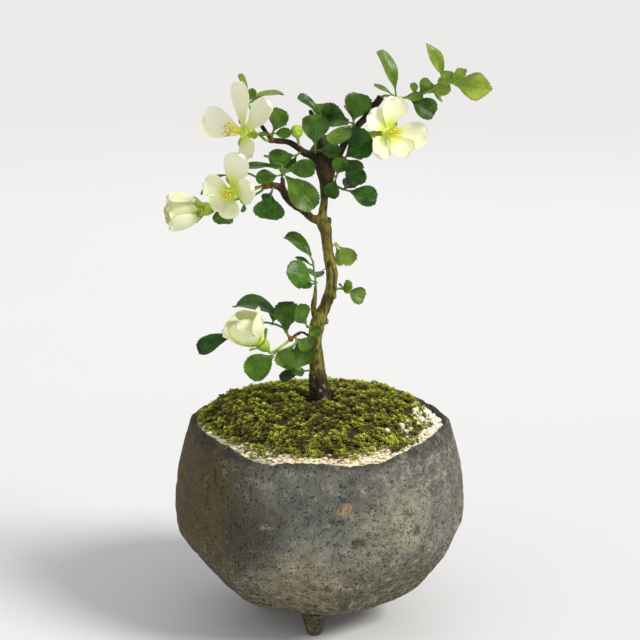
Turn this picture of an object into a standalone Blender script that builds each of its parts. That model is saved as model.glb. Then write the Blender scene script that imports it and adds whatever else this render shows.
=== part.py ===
"""A chojubai quince bonsai in its hand-formed stoneware pot, at its real size.

Lengths in the tables are millimetres; MM turns them into metres. The axes are x to the right, y away
from the viewer and z up, from the ground under the middle of the pot. A leaf's heading is its angle
in that front view (0 points right, 90 points up), and its lean is how far it comes out of it.
"""
import math
import random

import bmesh
import bpy
from mathutils import Matrix, Vector
from mathutils.bvhtree import BVHTree
from mathutils.geometry import delaunay_2d_cdt

MM = 0.001
GAP = 0.3
WELD = 0.004
FLAT_ANGLE = 1.2

# Pot: outer and inner profiles as (radius, height), from the rim down, and what bends them.
SEGMENTS = 34
POT_FLOOR = 12.4
OUTER_PROFILE = [(44.6, 70.9), (45.7, 69.4), (49.0, 58.0), (50.9, 46.0), (50.9, 37.0),
                 (49.0, 28.0), (44.6, 20.5), (37.6, 14.4), (27.0, 10.0), (5.0, 6.8)]
INNER_PROFILE = [(5.0, POT_FLOOR), (19.0, POT_FLOOR), (31.0, 17.2), (41.6, 27.0), (46.6, 43.0),
                 (44.8, 60.0), (42.8, 69.4), (43.4, 70.8)]
RIM_HEIGHTS = {-170: 73.0, -149: 73.2, -135: 72.5, -122: 69.6, -113: 68.9, -104: 70.3, -90: 70.7,
               -76: 69.4, -64: 69.2, -54: 70.7, -43: 72.0, -24: 73.2, -8: 72.6, 12: 70.2, 26: 70.0,
               48: 71.2, 75: 71.4, 95: 70.6, 120: 71.4, 150: 70.4}
RIM_BASE = 71.0
RIM_WAVE_FROM = 48.0
# Paddled flats as (azimuth, tilt below the horizontal, distance from the middle of the body).
FLATS = [(-82, 4, 46.6), (-141, 2, 48.0), (-34, 5, 47.6), (12, -3, 49.0), (62, 3, 47.6),
         (112, 5, 47.2), (160, -2, 49.0), (-104, 38, 42.6), (-50, 34, 42.4), (0, 33, 43.0),
         (50, 36, 42.6), (100, 34, 43.0), (150, 35, 42.4), (-152, 34, 43.4)]
FLATS_MIDDLE = 40.0
FLATS_SOFTNESS = 0.9
WALL_AT_FLATS = 4.2

FOOT_AZIMUTHS = (-95, 25, 145)
FOOT_DISTANCE = 22.0
FOOT_PROFILE = [(5.6, 12.0), (4.3, 6.6), (3.2, 2.8), (2.7, 0.8), (2.1, 0.0)]
FOOT_SIDES = 8

# Fill of the pot.
DOME_TOP = 79.6
DOME_FALL = 0.00016
DOME_STRETCH = 1.22
SOIL_UNDER_MOSS = 4.8
MOSS_THICKNESS = 4.1
SHELF_RADIUS = 33.0
SHELF_HEIGHT = 62.0
TRUNK_HOLE = 4.4
COLLAR_RADIUS = 5.2
COLLAR_HEIGHT = 77.6
HOLE_FLOOR = 61.5
GRIT_TOP = 68.2
GRIT_CLEARANCE = 0.5
GRAIN_COUNT = 18
GRAIN_SIZES = (0.95, 1.35)
GRAIN_FROM_MOSS = 1.7
GRAIN_FROM_WALL = 1.5
GRIT_ROUGHNESS = 0.7
MOSS_FLOOR = 69.1
MOSS_LEAST = 0.8
MOSS_HOLE = 6.1
MOSS_EDGES = {-180: 40.4, -150: 39.6, -125: 36.6, -105: 36.2, -85: 37.0, -65: 36.2, -45: 37.4,
              -20: 37.6, 5: 35.0, 30: 34.2, 60: 36.6, 90: 37.6, 120: 38.6, 150: 39.8}
MOSS_TUFT_PITCH = 3.45
MOSS_TUFT_HEIGHT = 1.5
MOSS_OUTER_ROUNDING = (3.4, 4.5)
MOSS_INNER_ROUNDING = (2.0, 3.0)
MOSS_LOW_PITCH = 9.0
MOSS_RIM_POINTS = 76
MOSS_HOLE_POINTS = 14
SOIL_CLEARANCE = 1.6
SOIL_FLOOR_RADIUS = 18.5
NET_BARS = 3
NET_BAR_WIDTH = 1.6
NET_HOLE_WIDTH = 5.4
NET_THICKNESS = 0.8

# Wood: each limb as points (x, y, z, radius).
LIMBS = {
    "trunk": [(0, 0, 61.8, 3.3), (0, 0, 70, 3.6), (0, 0, 80, 3.9), (-0.5, 0, 85, 3.4),
              (-1, -0.5, 90.5, 2.8), (-1.5, -0.5, 97, 2.5), (-1.5, 0, 102, 2.6), (-0.5, 0, 107.5, 2.7),
              (1.5, 0.5, 111.5, 2.25), (3, 1, 115.5, 2.2), (4, 1, 119.5, 2.05), (4, 1, 124.5, 2.2),
              (3, 1, 129.5, 2.05), (2.5, 0.5, 134.5, 2.05), (2, 0, 139, 2.2), (0.5, 0, 143, 2.5)],
    "left branch": [(0.5, 0, 142.5, 1.7), (-2.5, -1, 143.5, 1.6), (-5.5, -3, 146.5, 1.45),
                    (-9, -4.5, 149, 1.4), (-11, -6, 151.5, 1.4), (-12.5, -7, 154.5, 1.3),
                    (-14.5, -8, 156, 1.15), (-18, -9, 156.5, 1.2)],
    "leader": [(0.5, 0, 142.5, 1.9), (1, 0, 146, 1.6), (1.5, 1, 150, 1.45), (1.8, 1, 154.2, 2.0),
               (2, 1, 157.6, 2.9), (1.8, 1, 161, 3.5), (1.3, 1.5, 164.4, 2.6)],
    "crown left branch": [(0.5, 1, 161.5, 1.6), (-2.5, 0.5, 164.5, 1.5), (-5.5, 0, 166, 1.25),
                          (-8, -0.5, 168, 1.1), (-10.5, -1, 169.5, 1.0), (-13.5, -1.5, 170, 1.0),
                          (-16.5, -2, 170.5, 0.9)],
    "crown left twig": [(-16, -2, 170.3, 0.75), (-18.5, -1, 173.5, 0.8), (-20, 0, 175.5, 0.65),
                        (-22, 1, 178.5, 0.6), (-23.5, 1.7, 181, 0.6)],
    "crown stub": [(0.5, 1.5, 162, 1.5), (0, 3, 169.5, 1.1), (-1, 4, 175, 0.9), (-3.5, 5, 179.5, 0.7)],
    "crown right branch": [(0.5, 1, 161.5, 1.8), (5, 2, 162.8, 1.5), (7, 3, 166, 1.3),
                           (10, 4, 171, 1.2), (13.5, 4.5, 175, 1.15), (17, 4, 179, 1.25),
                           (20.5, 3, 184.3, 1.3)],
    "right twig": [(1.5, 1, 152, 0.8), (4.5, -0.5, 153, 0.6), (6.5, -2, 154.5, 0.55)],
    "side shoot": [(-0.5, 0, 106.5, 1.2), (-2, -2, 110, 1.2), (-2.1, -3, 114, 1.05),
                   (-1.6, -3.6, 117.5, 0.85), (-1.5, -4, 120.5, 0.65)],
    "low spur": [(-1.5, 0, 101.5, 0.9), (-4, -2, 102.5, 0.75), (-6, -3.5, 104, 0.7),
                 (-8, -4.5, 103.5, 0.7), (-10, -5, 102, 0.8)],
    "thin twig": [(3, 0.5, 126, 0.5), (1.2, -1.2, 125.6, 0.4), (0.2, -2.4, 125.2, 0.35)],
    "mid left spur": [(-11.8, -6.3, 153.2, 0.9), (-12.3, -6.8, 156, 0.75), (-12.6, -7, 158.6, 0.7)],
}
# A limb that starts thicker than each of these has one more side.
LIMB_SIDE_RADII = (1.2, 1.55, 2.2, 3.0)
LEAST_LIMB_SIDES = 4
BARK_ROUGHNESS = 0.06
KNOTS = [(0.6, 1, 163.4, 3.0), (5, 1.6, 162.4, 2.2), (1.9, -0.8, 107.4, 1.5), (4.6, -0.2, 116, 1.4),
         (2.6, 0.2, 142.4, 1.7), (-18.3, -9, 156.4, 1.5), (-10, -5, 102, 1.25), (-2.4, -2, 84, 1.8),
         (2.2, -1.4, 82.6, 1.8), (0.6, 2.4, 82.4, 1.8), (-16.4, -2, 170.5, 1.2)]

# Where green stems and pedicels spring from the wood, each as (a point inside the limb, direction).
# They start where that direction leaves the bark, GAP beyond it.
SPRINGS = {
    "bloom_upper_left": ((-16.5, -2, 170.5), (-0.75, -0.6, 0.05)),
    "bloom_mid_left": ((-18.3, -9, 156.4), (-0.8, -0.55, -0.1)),
    "bloom_far_left": ((-18.3, -9, 156.4), (-0.72, 0.6, -0.35)),
    "bloom_right": ((12, 4.2, 173.2), (0.62, -0.75, -0.1)),
    "bloom_low_left": ((-10, -5, 102), (-0.75, -0.4, -0.5)),
    "flower_bud": ((-7, -0.3, 167.5), (-0.1, -0.5, 0.85)),
    "leaves_left_top": ((-23.4, 1.6, 180.8), (-0.4, 0.2, 0.89)),
    "leaves_left_upright": ((-16.2, -2, 170.5), (0.15, -0.3, 0.94)),
    "leaves_left_glossy": ((-6.2, -0.2, 166.4), (-0.5, -0.8, -0.3)),
    "leaves_mid_left": ((-12.5, -6.9, 158.0), (-0.15, -0.1, 0.98)),
    "leaves_mid_left_low": ((-15.6, -8.4, 156.1), (-0.15, -0.85, -0.5)),
    "leaves_behind_bloom": ((-18.3, -9, 156.4), (-0.55, 0.35, 0.75)),
    "leaves_under_bloom": ((-18.3, -9, 156.4), (-0.55, -0.2, -0.8)),
    "leaves_crown_tip": ((0.3, 2.5, 174.8), (0.1, -0.2, 0.97)),
    "leaves_crown_left": ((-1.5, 0.6, 164.8), (-0.05, -0.5, 0.85)),
    "leaves_crown_top": ((12, 4.3, 173.2), (-0.25, -0.6, 0.75)),
    "leaves_crown_front": ((2.4, 0.8, 157.8), (0.8, -0.6, 0.05)),
    "leaves_crown_right": ((5.4, 2.2, 163.4), (0.8, -0.55, 0.15)),
    "leaves_crown_back": ((2, 1.8, 163), (0.1, 0.93, 0.3)),
    "leaves_right_twig": ((6.3, -1.8, 154.3), (0.85, -0.45, -0.25)),
    "leaves_right_shoot": ((20.2, 3, 183.9), (0.75, -0.3, 0.4)),
    "leaves_trunk_left": ((-1.5, -4, 121), (0, -0.15, 0.98)),
    "leaves_trunk_back": ((3.5, 1, 133.0), (0.72, 0.62, 0.25)),
    "leaves_trunk_right": ((4, 1, 118.2), (0.85, -0.2, 0.1)),
    "leaves_low_left": ((-10, -5, 102), (-0.55, 0.3, 0.75)),
    "leaves_low_front": ((-8.5, -4.6, 103), (0.2, -0.8, -0.5)),
    "leaves_low_trunk": ((-1.2, 0, 105), (-0.75, -0.6, 0.2)),
    "leaves_foot": ((-1, -0.4, 89.6), (-0.8, -0.55, 0.1)),
}
SPRING_RAY = 12.0

# Sprays: the stem's further points beyond its first stretch, then the leaves as
# (place along the stem 0 to 1, heading, lean, length, width, turn about the midrib, bend).
SPRAYS = {
    "leaves_left_top": ([], [
        (1, 98, 8, 9.8, 3.2, 52, 20), (1, 62, 28, 5.5, 3.0, 10, 10), (0.6, 16, 5, 5.5, 1.3, 20, 20),
        (0.6, 39, -12, 13, 5.0, -42, 58)]),
    "leaves_left_upright": ([], [
        (1, 70, 8, 8.4, 6.2, 8, 15), (0.4, 176, 29, 4.8, 2.6, 30, 10), (0.6, 12, 43, 7.5, 3.2, 20, 25),
        (0.8, 60, -50, 8.5, 5.2, 10, 25)]),
    "leaves_left_glossy": ([], [
        (1, 190, 15, 9.6, 6.8, 0, 20), (1, 235, 29, 6.0, 4.0, 20, 20)]),
    "leaves_mid_left": ([(0.2, -0.3, 2.6)], [
        (1, 143, 10, 6.6, 1.6, 55, 15), (0.2, 183, 25, 8.5, 5.2, 15, 20), (0.7, 160, 2, 12, 4.2, 40, 40),
        (0.7, 5, 12, 10.6, 5.2, 20, 20), (0.5, -42, 32, 15.8, 7.6, 12, 24), (0.2, 32, -67, 9, 5.5, 0, 25)]),
    "leaves_mid_left_low": ([], [
        (1, -98, 22, 9.2, 9.2, 4, 22), (0.6, -130, -18, 6.5, 4.2, 30, 25)]),
    "leaves_behind_bloom": ([(-4.5, 0.6, 1.6), (-9.6, 0, 1.2)], [
        (1, 176, 0, 13.4, 5.6, 60, 75), (0.7, 110, -45, 8, 5, 0, 25)]),
    "leaves_under_bloom": ([(-4.4, 0, -1.6), (-9.2, -0.2, -2.4), (-13.2, -0.4, -3.0)], [
        (1, -86, 0, 8.0, 6.2, 12, 20), (0.3, -110, -50, 7, 4.4, 10, 25)]),
    "leaves_crown_tip": ([(0, 0, 1.2)], [
        (1, 124, 10, 10.6, 3.8, 30, 35), (0.8, 62, 22, 4.8, 2.8, 20, 15), (0.3, 91, -45, 9, 5.6, 0, 20),
        (0.2, 165, 12, 6.5, 4, 30, 25)]),
    "leaves_crown_left": ([], [
        (1, 89, 6, 11.6, 8.0, 5, 12), (0.5, 2, 22, 8.8, 4.4, 20, 20)]),
    "leaves_crown_top": ([], [
        (0.6, 168, -15, 11.4, 8.6, 12, 20), (1, 76, 4, 9.0, 7.0, 8, 18), (0.2, 205, 52, 11.6, 6.2, 25, 22),
        (0.8, 79, -50, 9, 6, 0, 25)]),
    "leaves_crown_front": ([], [
        (1, 74, 22, 6.4, 4.4, 10, 20), (1, -110, 20, 6.8, 4.4, 20, 25)]),
    "leaves_crown_right": ([], [
        (1, 46, 18, 11.0, 8.8, 8, 16), (1, -32, 28, 6.8, 3.4, 25, 25), (0.7, -58, -3, 10.6, 5.6, 15, 25),
        (0.5, 20, -40, 8, 5, 10, 20)]),
    "leaves_crown_back": ([], [
        (1, 95, -50, 10.5, 6.4, 5, 20), (1, 173, -42, 10, 6, 10, 25), (0.7, 4, -69, 9.5, 5.8, 10, 25)]),
    "leaves_right_twig": ([], [
        (1, -14, 10, 11.4, 6.2, 12, 18), (0.6, 25, -64, 7.5, 4.6, 10, 20)]),
    "leaves_right_shoot": ([(3.2, -0.8, -0.8), (8, -2, -0.6), (13.5, -3.2, 1.4), (17.4, -4, 3.8),
                            (21.5, -4.8, 4.8)], [
        (0.95, -5, 18, 15.0, 8.2, 28, 12), (0.02, 95, 6, 17.0, 5.4, 42, 46),
        (0.0, 138, 12, 8.5, 1.6, 20, 30), (0.12, 8, 20, 7.5, 2.8, 30, 10),
        (0.34, 96, 6, 4.6, 2.6, 30, 20), (0.38, 44, -20, 6.8, 5, 20, 20), (0.22, -28, 12, 10.8, 6.6, 8, 20),
        (0.5, 16, 14, 8.6, 4.2, 30, 15), (0.92, 112, 4, 14.8, 4.6, 18, 18),
        (0.9, 80, 25, 4.6, 4.2, 20, 25), (1, 128, -41, 5, 1.8, 20, 15), (1, 50, 34, 7.5, 3.8, 10, 30),
        (0.6, -28, -38, 7.0, 4.6, 10, 25)]),
    "leaves_trunk_left": ([(-1.0, -0.4, 7.0)], [
        (0.2, 150, 28, 11.8, 9.2, 8, 15), (1, 113, 0, 13.4, 6.2, 40, 64), (0.85, 150, -15, 7.0, 2.2, 40, 15),
        (-0.1, 184, 30, 5.4, 3.2, 20, 15), (0.4, 84, -71, 8, 5, 10, 25)]),
    "leaves_trunk_back": ([], [
        (1, -46, 20, 8.8, 5.2, 20, 20), (0.5, -72, -12, 9.0, 3.4, 10, 20)]),
    "leaves_trunk_right": ([(1.2, -0.6, -0.2)], [
        (0.3, 22, 35, 4.8, 4.2, 10, 20), (1, -24, 8, 7.2, 5.4, 10, 20), (0.6, -30, -75, 7.5, 4.6, 10, 25)]),
    "leaves_low_left": ([(-1.0, 0.4, 1.4), (-4.5, 2.2, 2.4), (-9.5, 5.0, 2.0), (-14.5, 6.4, -0.8),
                         (-17.2, 6.6, -2.8)], [
        (1, 197, 4, 15.4, 6.8, 18, 16), (-0.06, 111, 2, 22.0, 8.2, 50, 104),
        (-0.22, 92, 0, 11.4, 7.8, 8, 18), (0.3, 60, -60, 9, 5.6, 5, 25)]),
    "leaves_low_front": ([(-1.0, -1.0, -1.0), (-7.4, -2.6, -3.2)], [
        (-0.1, -73, 14, 9.2, 7.8, 8, 15), (-0.3, -22, 35, 6.4, 4.8, 5, 15), (0.5, 240, 22, 8.4, 6.6, 8, 20),
        (1, 212, 32, 12.4, 8.2, 8, 20)]),
    "leaves_low_trunk": ([], [
        (1, 108, 28, 8.6, 5.8, 12, 25), (0.6, -20, 45, 5.6, 3.4, 10, 20)]),
    "leaves_foot": ([], [
        (1, 187, 15, 9.6, 4.6, 25, 20), (0.7, 165, 43, 6.5, 4.4, 15, 20)]),
}
STEM_LENGTH = 1.6
STEM_TAPER = 0.25
LEAVES_FROM = 0.25
LEAVES_TO = 0.97
STEM_RADIUS = 0.5
STEM_SIDES = 4
STALK_SHARE = 0.14
STALK_HALF_WIDTH = 0.42
BLADE_THICKNESS = 0.66
LEAF_FOLD = 0.16
LEAF_WIDEST = 0.62
LEAF_BASE_WIDTH = 0.12
LEAF_BASE_POWER = 1.25
LEAF_TIP_POWER = 2.4
TEETH_FROM = 0.2
TEETH_SPAN = 0.78
TOOTH_POINT = 0.62
TOOTH_OUT = 0.055
NOTCH_IN = 0.04
PLAIN_EDGE_STOPS = (0.5, 0.85)
MIDRIB_STOPS = (0.3, 0.68)
# A leaf longer than each of these has one more pair of teeth, if it is wider than the least width.
TOOTH_LENGTHS = (3.0, 7.4, 10.4)
TOOTHED_WIDTH = 2.5
LEAF_FACING = (0, -0.8, 0.6)
CLEAR_OF_OTHERS = 0.35
CLEAR_OF_FELLOWS_FROM = 0.42
# Turns tried, in this order, where a leaf would cross another body: (change of lean, of heading).
BEND_TRIES = [(0, 0)] + [(lean * k, head * k) for k in (1, 2, 3, 4)
                         for lean, head in ((8, 0), (-8, 0), (0, 9), (0, -9), (7, 8), (-7, 8),
                                            (7, -8), (-7, -8))]

# Blooms: receptacle, axis, pedicel's further points, stamens (count, length, splay), and petals
# as (azimuth about the axis, opening from the axis, length, width).
BLOOMS = {
    "upper_left": {
        "at": (-25.5, -6, 174), "axis": (-0.72, -0.64, 0.22), "pedicel": [],
        "stamens": (8, 7.0, 20),
        "petals": [(42, 98, 14.4, 9.6), (97, 84, 15.6, 8.8), (174, 74, 15.0, 10.4), (-58, 98, 9.0, 9.0)]},
    "mid_left": {
        "at": (-29, -15, 155), "axis": (-0.42, -0.9, 0.04), "pedicel": [],
        "stamens": (8, 4.6, 24),
        "petals": [(74, 82, 14.0, 9.6), (14, 72, 10.6, 8.8), (152, 64, 9.2, 8.2), (212, 66, 7.4, 7.2),
                   (-84, 68, 8.0, 7.6)]},
    "far_left": {
        "at": (-40, -8, 148), "axis": (-0.94, -0.22, -0.04),
        "pedicel": [(-24.5, -5.2, 153.4), (-30, -6, 151)],
        "stamens": (3, 4.0, 9),
        "petals": [(80, 31, 11.8, 9.6), (205, 31, 12.0, 9.6), (320, 32, 12.2, 9.6), (18, 18, 11.6, 9.4),
                   (145, 18, 11.6, 9.4)]},
    "right": {
        "at": (22.5, -3, 173), "axis": (0.5, -0.83, 0.2), "pedicel": [],
        "stamens": (8, 5.2, 24),
        "petals": [(80, 76, 11.8, 9.8), (136, 84, 9.6, 8.2), (-10, 78, 13.0, 9.0), (-66, 62, 10.0, 9.0),
                   (-138, 76, 10.0, 8.4)]},
    "low_left": {
        "at": (-20.8, -10.4, 102.9), "axis": (-0.62, -0.28, 0.73), "pedicel": [(-14.2, -7.6, 99.4)],
        "stamens": (3, 4.2, 9),
        "petals": [(48, 42, 12.6, 10.4), (330, 22, 12.2, 10.0), (262, 36, 12.8, 10.4), (200, 40, 12.4, 10.2),
                   (120, 26, 12.0, 9.8)]},
}
RECEPTACLE_RADIUS = 2.1
RECEPTACLE_HALF = 0.5
PETAL_ROOT = 1.55
PETAL_THICKNESS = 0.62
PETAL_ROWS = [(0.34, 0.56), (0.7, 1.0), (1.0, 0.56)]
PETAL_COLUMNS = [-1.0, -0.5, 0.0, 0.5, 1.0]
PETAL_CLAW = 0.16
PETAL_ROUND_END = 0.14
PETAL_RISE = 0.16
PETAL_CUP = 0.14
CALYX_PROFILE = [(2.1, -0.8), (2.35, -2.0), (1.7, -3.9), (0.6, -5.4)]
CALYX_SIDES = 8
PEDICEL_RADIUS = 0.5
PEDICEL_FIRST_STRETCH = 0.9
PEDICEL_END_HEIGHTS = (-6.4, -4.4)
SEPAL_LENGTH = 4.2
SEPAL_WIDTH = 2.3
SEPAL_ROWS = [(0.0, 0.75), (0.55, 1.0), (1.0, 0.35)]
SEPAL_CURL = 0.25
SEPAL_ROOT = (1.7, -1.5)
SEPAL_MORE_OPEN = 22
SEPAL_WIDEST_OPENING = 100
STAMEN_BASE = [(1.1, 1.5), (1.1, RECEPTACLE_HALF + GAP)]
STAMEN_ROOT = (0.35, 0.9)
STAMEN_STOPS = (0.0, 0.88, 1.0)
STAMEN_RADII = (0.36, 0.7, 0.45)
STAMEN_TURN = 2.4
BUD_PLACE = (-7.7, -4.6, 173.8)
BUD_RADIUS = 2.1
BUD_LENGTHENED = 1.12
BUD_LATITUDES = (20, 55, 90, 125, 160)
BUD_STALK_RADII = [0.5, 0.5, 0.75, 0.8]

FINISHES = {
    "stoneware": ((0.082, 0.083, 0.086), 0.82),
    "net": ((0.03, 0.03, 0.032), 0.55),
    "soil": ((0.052, 0.036, 0.024), 0.95),
    "grit": ((0.60, 0.54, 0.42), 0.92),
    "moss": ((0.17, 0.22, 0.030), 0.95),
    "bark": ((0.115, 0.092, 0.050), 0.85),
    "leaf": ((0.040, 0.125, 0.028), 0.42),
    "petal": ((0.78, 0.80, 0.58), 0.50),
    "stamen": ((0.78, 0.68, 0.12), 0.60),
    "calyx": ((0.32, 0.45, 0.050), 0.50),
}


# Helpers.

def unit(vector):
    return Vector(vector).normalized()


def round_table(table, azimuth):
    """Reads a table of azimuth and value that closes on itself, with smooth steps between."""
    stops = sorted(table)
    azimuth = (azimuth - stops[0]) % 360 + stops[0]
    for low, high in zip(stops, stops[1:] + [stops[0] + 360]):
        if azimuth <= high:
            share = (azimuth - low) / (high - low)
            share = share * share * (3 - 2 * share)
            return table[low] * (1 - share) + table[stops[0] if high == stops[0] + 360 else high] * share


def smooth_run(points, steps):
    """Catmull-Rom run through points of any number of values, with steps parts to each stretch."""
    rows = [Vector(p) for p in points]
    rows = [2 * rows[0] - rows[1]] + rows + [2 * rows[-1] - rows[-2]]
    run = []
    for a, b, c, d in zip(rows, rows[1:], rows[2:], rows[3:]):
        for k in range(steps):
            t = k / steps
            run.append(0.5 * (2 * b + (c - a) * t + (2 * a - 5 * b + 4 * c - d) * t * t
                              + (3 * b - a - 3 * c + d) * t ** 3))
    return run + [rows[-2]]


def finish(name, kind):
    """A plain material of one of the kinds in FINISHES, for one object."""
    colour, roughness = FINISHES[kind]
    material = bpy.data.materials.new(name)
    material.use_nodes = True
    shader = material.node_tree.nodes["Principled BSDF"]
    shader.inputs["Base Color"].default_value = (*colour, 1)
    shader.inputs["Roughness"].default_value = roughness
    shader.inputs["Metallic"].default_value = 0.0
    material.diffuse_color = (*colour, 1)
    return material


def solid(name, shape):
    """An object from a shape, which is (points in millimetres, faces)."""
    points, faces = shape
    mesh = bpy.data.meshes.new(name)
    mesh.from_pydata([Vector(p) * MM for p in points], [], faces)
    mesh.update()
    piece = bpy.data.objects.new(name, mesh)
    bpy.context.scene.collection.objects.link(piece)
    return piece


def moved(shape, matrix):
    points, faces = shape
    return [matrix @ Vector(p) for p in points], faces


def fuse(name, shapes, solver="EXACT"):
    """One body from shapes that overlap: a Boolean union of the first with all the rest."""
    pieces = [solid(name + "_piece", shape) for shape in shapes]
    base = pieces[0]
    if len(pieces) > 1:
        rest = bpy.data.collections.new(name + "_rest")
        for piece in pieces[1:]:
            rest.objects.link(piece)
        union = base.modifiers.new("union", "BOOLEAN")
        union.operation = "UNION"
        union.operand_type = "COLLECTION"
        union.collection = rest
        union.solver = solver
        with bpy.context.temp_override(object=base, active_object=base):
            bpy.ops.object.modifier_apply(modifier=union.name)
        for piece in pieces[1:]:
            bpy.data.objects.remove(piece)
        bpy.data.collections.remove(rest)
    keep_outer_skin(base)
    base.name = name
    base.data.name = name
    return base


def keep_outer_skin(piece):
    """Joins flat faces that a union has cut up, and drops scraps and the walls of sealed hollows."""
    mesh = bmesh.new()
    mesh.from_mesh(piece.data)
    bmesh.ops.remove_doubles(mesh, verts=mesh.verts, dist=WELD * MM)
    bmesh.ops.dissolve_degenerate(mesh, edges=mesh.edges, dist=WELD * MM)
    bmesh.ops.dissolve_limit(mesh, angle_limit=math.radians(FLAT_ANGLE), verts=mesh.verts, edges=mesh.edges)
    bmesh.ops.triangulate(mesh, faces=mesh.faces)
    bmesh.ops.dissolve_degenerate(mesh, edges=mesh.edges, dist=WELD * MM)
    bmesh.ops.triangulate(mesh, faces=mesh.faces)
    waiting = set(mesh.faces)
    shells = []
    while waiting:
        seed = waiting.pop()
        shell, front = [seed], [seed]
        while front:
            for edge in front.pop().edges:
                if len(edge.link_faces) != 2:
                    continue
                for face in edge.link_faces:
                    if face in waiting:
                        waiting.remove(face)
                        shell.append(face)
                        front.append(face)
        shells.append(shell)
    largest = max(shells, key=lambda shell: sum(face.calc_area() for face in shell))
    scraps = [face for shell in shells if shell is not largest for face in shell]
    bmesh.ops.delete(mesh, geom=scraps, context="FACES")
    mesh.to_mesh(piece.data)
    mesh.free()


def dress(piece, kind, parent, smooth_angle=None):
    """Gives a piece its own material, its parent and its shading."""
    piece.data.materials.clear()
    piece.data.materials.append(finish(piece.name, kind))
    piece.parent = parent
    if smooth_angle is not None:
        piece.data.shade_smooth()
        piece.data.set_sharp_from_angle(angle=math.radians(smooth_angle))
    return piece


def skin_tree(piece):
    """A search tree of a piece's skin, in millimetres in the plant's frame."""
    bpy.context.view_layer.update()
    points = [piece.matrix_world @ v.co / MM for v in piece.data.vertices]
    return BVHTree.FromPolygons(points, [tuple(p.vertices) for p in piece.data.polygons])


def spring(name, bark):
    """Start and direction of a stem: just clear of the bark on the whole width of its end."""
    root, direction = Vector(SPRINGS[name][0]), unit(SPRINGS[name][1])
    side = direction.orthogonal().normalized()
    other = direction.cross(side)
    reach = 0.0
    for angle in [None] + [math.pi * k / 3 for k in range(6)]:
        offset = Vector((0, 0, 0))
        if angle is not None:
            offset = (side * math.cos(angle) + other * math.sin(angle)) * STEM_RADIUS
        far = root + offset + direction * SPRING_RAY
        hit = bark.ray_cast(far, -direction, SPRING_RAY)
        if hit[0] is not None:
            reach = max(reach, SPRING_RAY - hit[3])
    return root + direction * (reach + GAP), direction


# Shapes that repeat.

def tube_shape(points, radii, sides, roughness=0.0, seed=0):
    """A round limb through the points, its rings square to the run, closed by a cap at each end."""
    draw = random.Random(seed)
    run = [Vector(p) for p in points]
    side = None
    verts, faces = [], []
    for i, centre in enumerate(run):
        along = (run[min(i + 1, len(run) - 1)] - run[max(i - 1, 0)]).normalized()
        if side is None:
            side = along.orthogonal().normalized()
        side = (side - along * side.dot(along)).normalized()
        other = along.cross(side)
        for k in range(sides):
            angle = 2 * math.pi * k / sides
            radius = radii[i] * (1 + roughness * draw.uniform(-1, 1))
            verts.append(centre + (side * math.cos(angle) + other * math.sin(angle)) * radius)
    for i in range(len(run) - 1):
        for k in range(sides):
            a, b = i * sides + k, i * sides + (k + 1) % sides
            faces.append((a, b, b + sides, a + sides))
    last = (len(run) - 1) * sides
    faces.append(tuple(reversed(range(sides))))
    faces.append(tuple(last + k for k in range(sides)))
    return verts, faces


def ball_shape(centre, radius, seed, squash=0.2):
    """A lumpy ball of twenty faces, for a knot of the wood or a grain."""
    draw = random.Random(seed)
    mesh = bmesh.new()
    bmesh.ops.create_icosphere(mesh, subdivisions=1, radius=1.0)
    turn = Matrix.Rotation(draw.uniform(0, math.pi), 3, unit((draw.uniform(-1, 1), 1, 0.5)))
    stretch = [radius * (1 + squash * draw.uniform(-1, 1)) for _ in range(3)]
    verts = []
    for vert in mesh.verts:
        point = turn @ vert.co
        verts.append(Vector(centre) + Vector([point[i] * stretch[i] for i in range(3)]))
    faces = [tuple(v.index for v in face.verts) for face in mesh.faces]
    mesh.free()
    return verts, faces


def strip(first, first_shares, second, second_shares):
    """Triangles between two rows of points, matched by their share of the length."""
    faces = []
    i = j = 0
    while i < len(first) - 1 or j < len(second) - 1:
        next_first = first_shares[i + 1] if i < len(first) - 1 else math.inf
        next_second = second_shares[j + 1] if j < len(second) - 1 else math.inf
        if next_first <= next_second:
            faces.append((first[i], first[i + 1], second[j]))
            i += 1
        else:
            faces.append((first[i], second[j + 1], second[j]))
            j += 1
    return [face for face in faces if len(set(face)) == 3]


def thick_sheet(top, bottom, faces, border):
    """A closed blade from two like faces and the border that joins them."""
    count = len(top)
    lower = [tuple(i + count for i in face[::-1]) for face in faces]
    rim = []
    for a, b in zip(border, border[1:] + border[:1]):
        rim.append((b, a, a + count))
        rim.append((b, a + count, b + count))
    return list(top) + list(bottom), faces + lower + rim


def leaf_half_width(share):
    """Half width of a leaf's blade, as a share of its widest: wedge-shaped base, round end."""
    if share < LEAF_WIDEST:
        swell = math.sin(share / LEAF_WIDEST * math.pi / 2) ** LEAF_BASE_POWER
        return LEAF_BASE_WIDTH + (1 - LEAF_BASE_WIDTH) * swell
    rest = (share - LEAF_WIDEST) / (1 - LEAF_WIDEST)
    return math.sqrt(max(0.0, 1 - rest ** LEAF_TIP_POWER))


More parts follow.
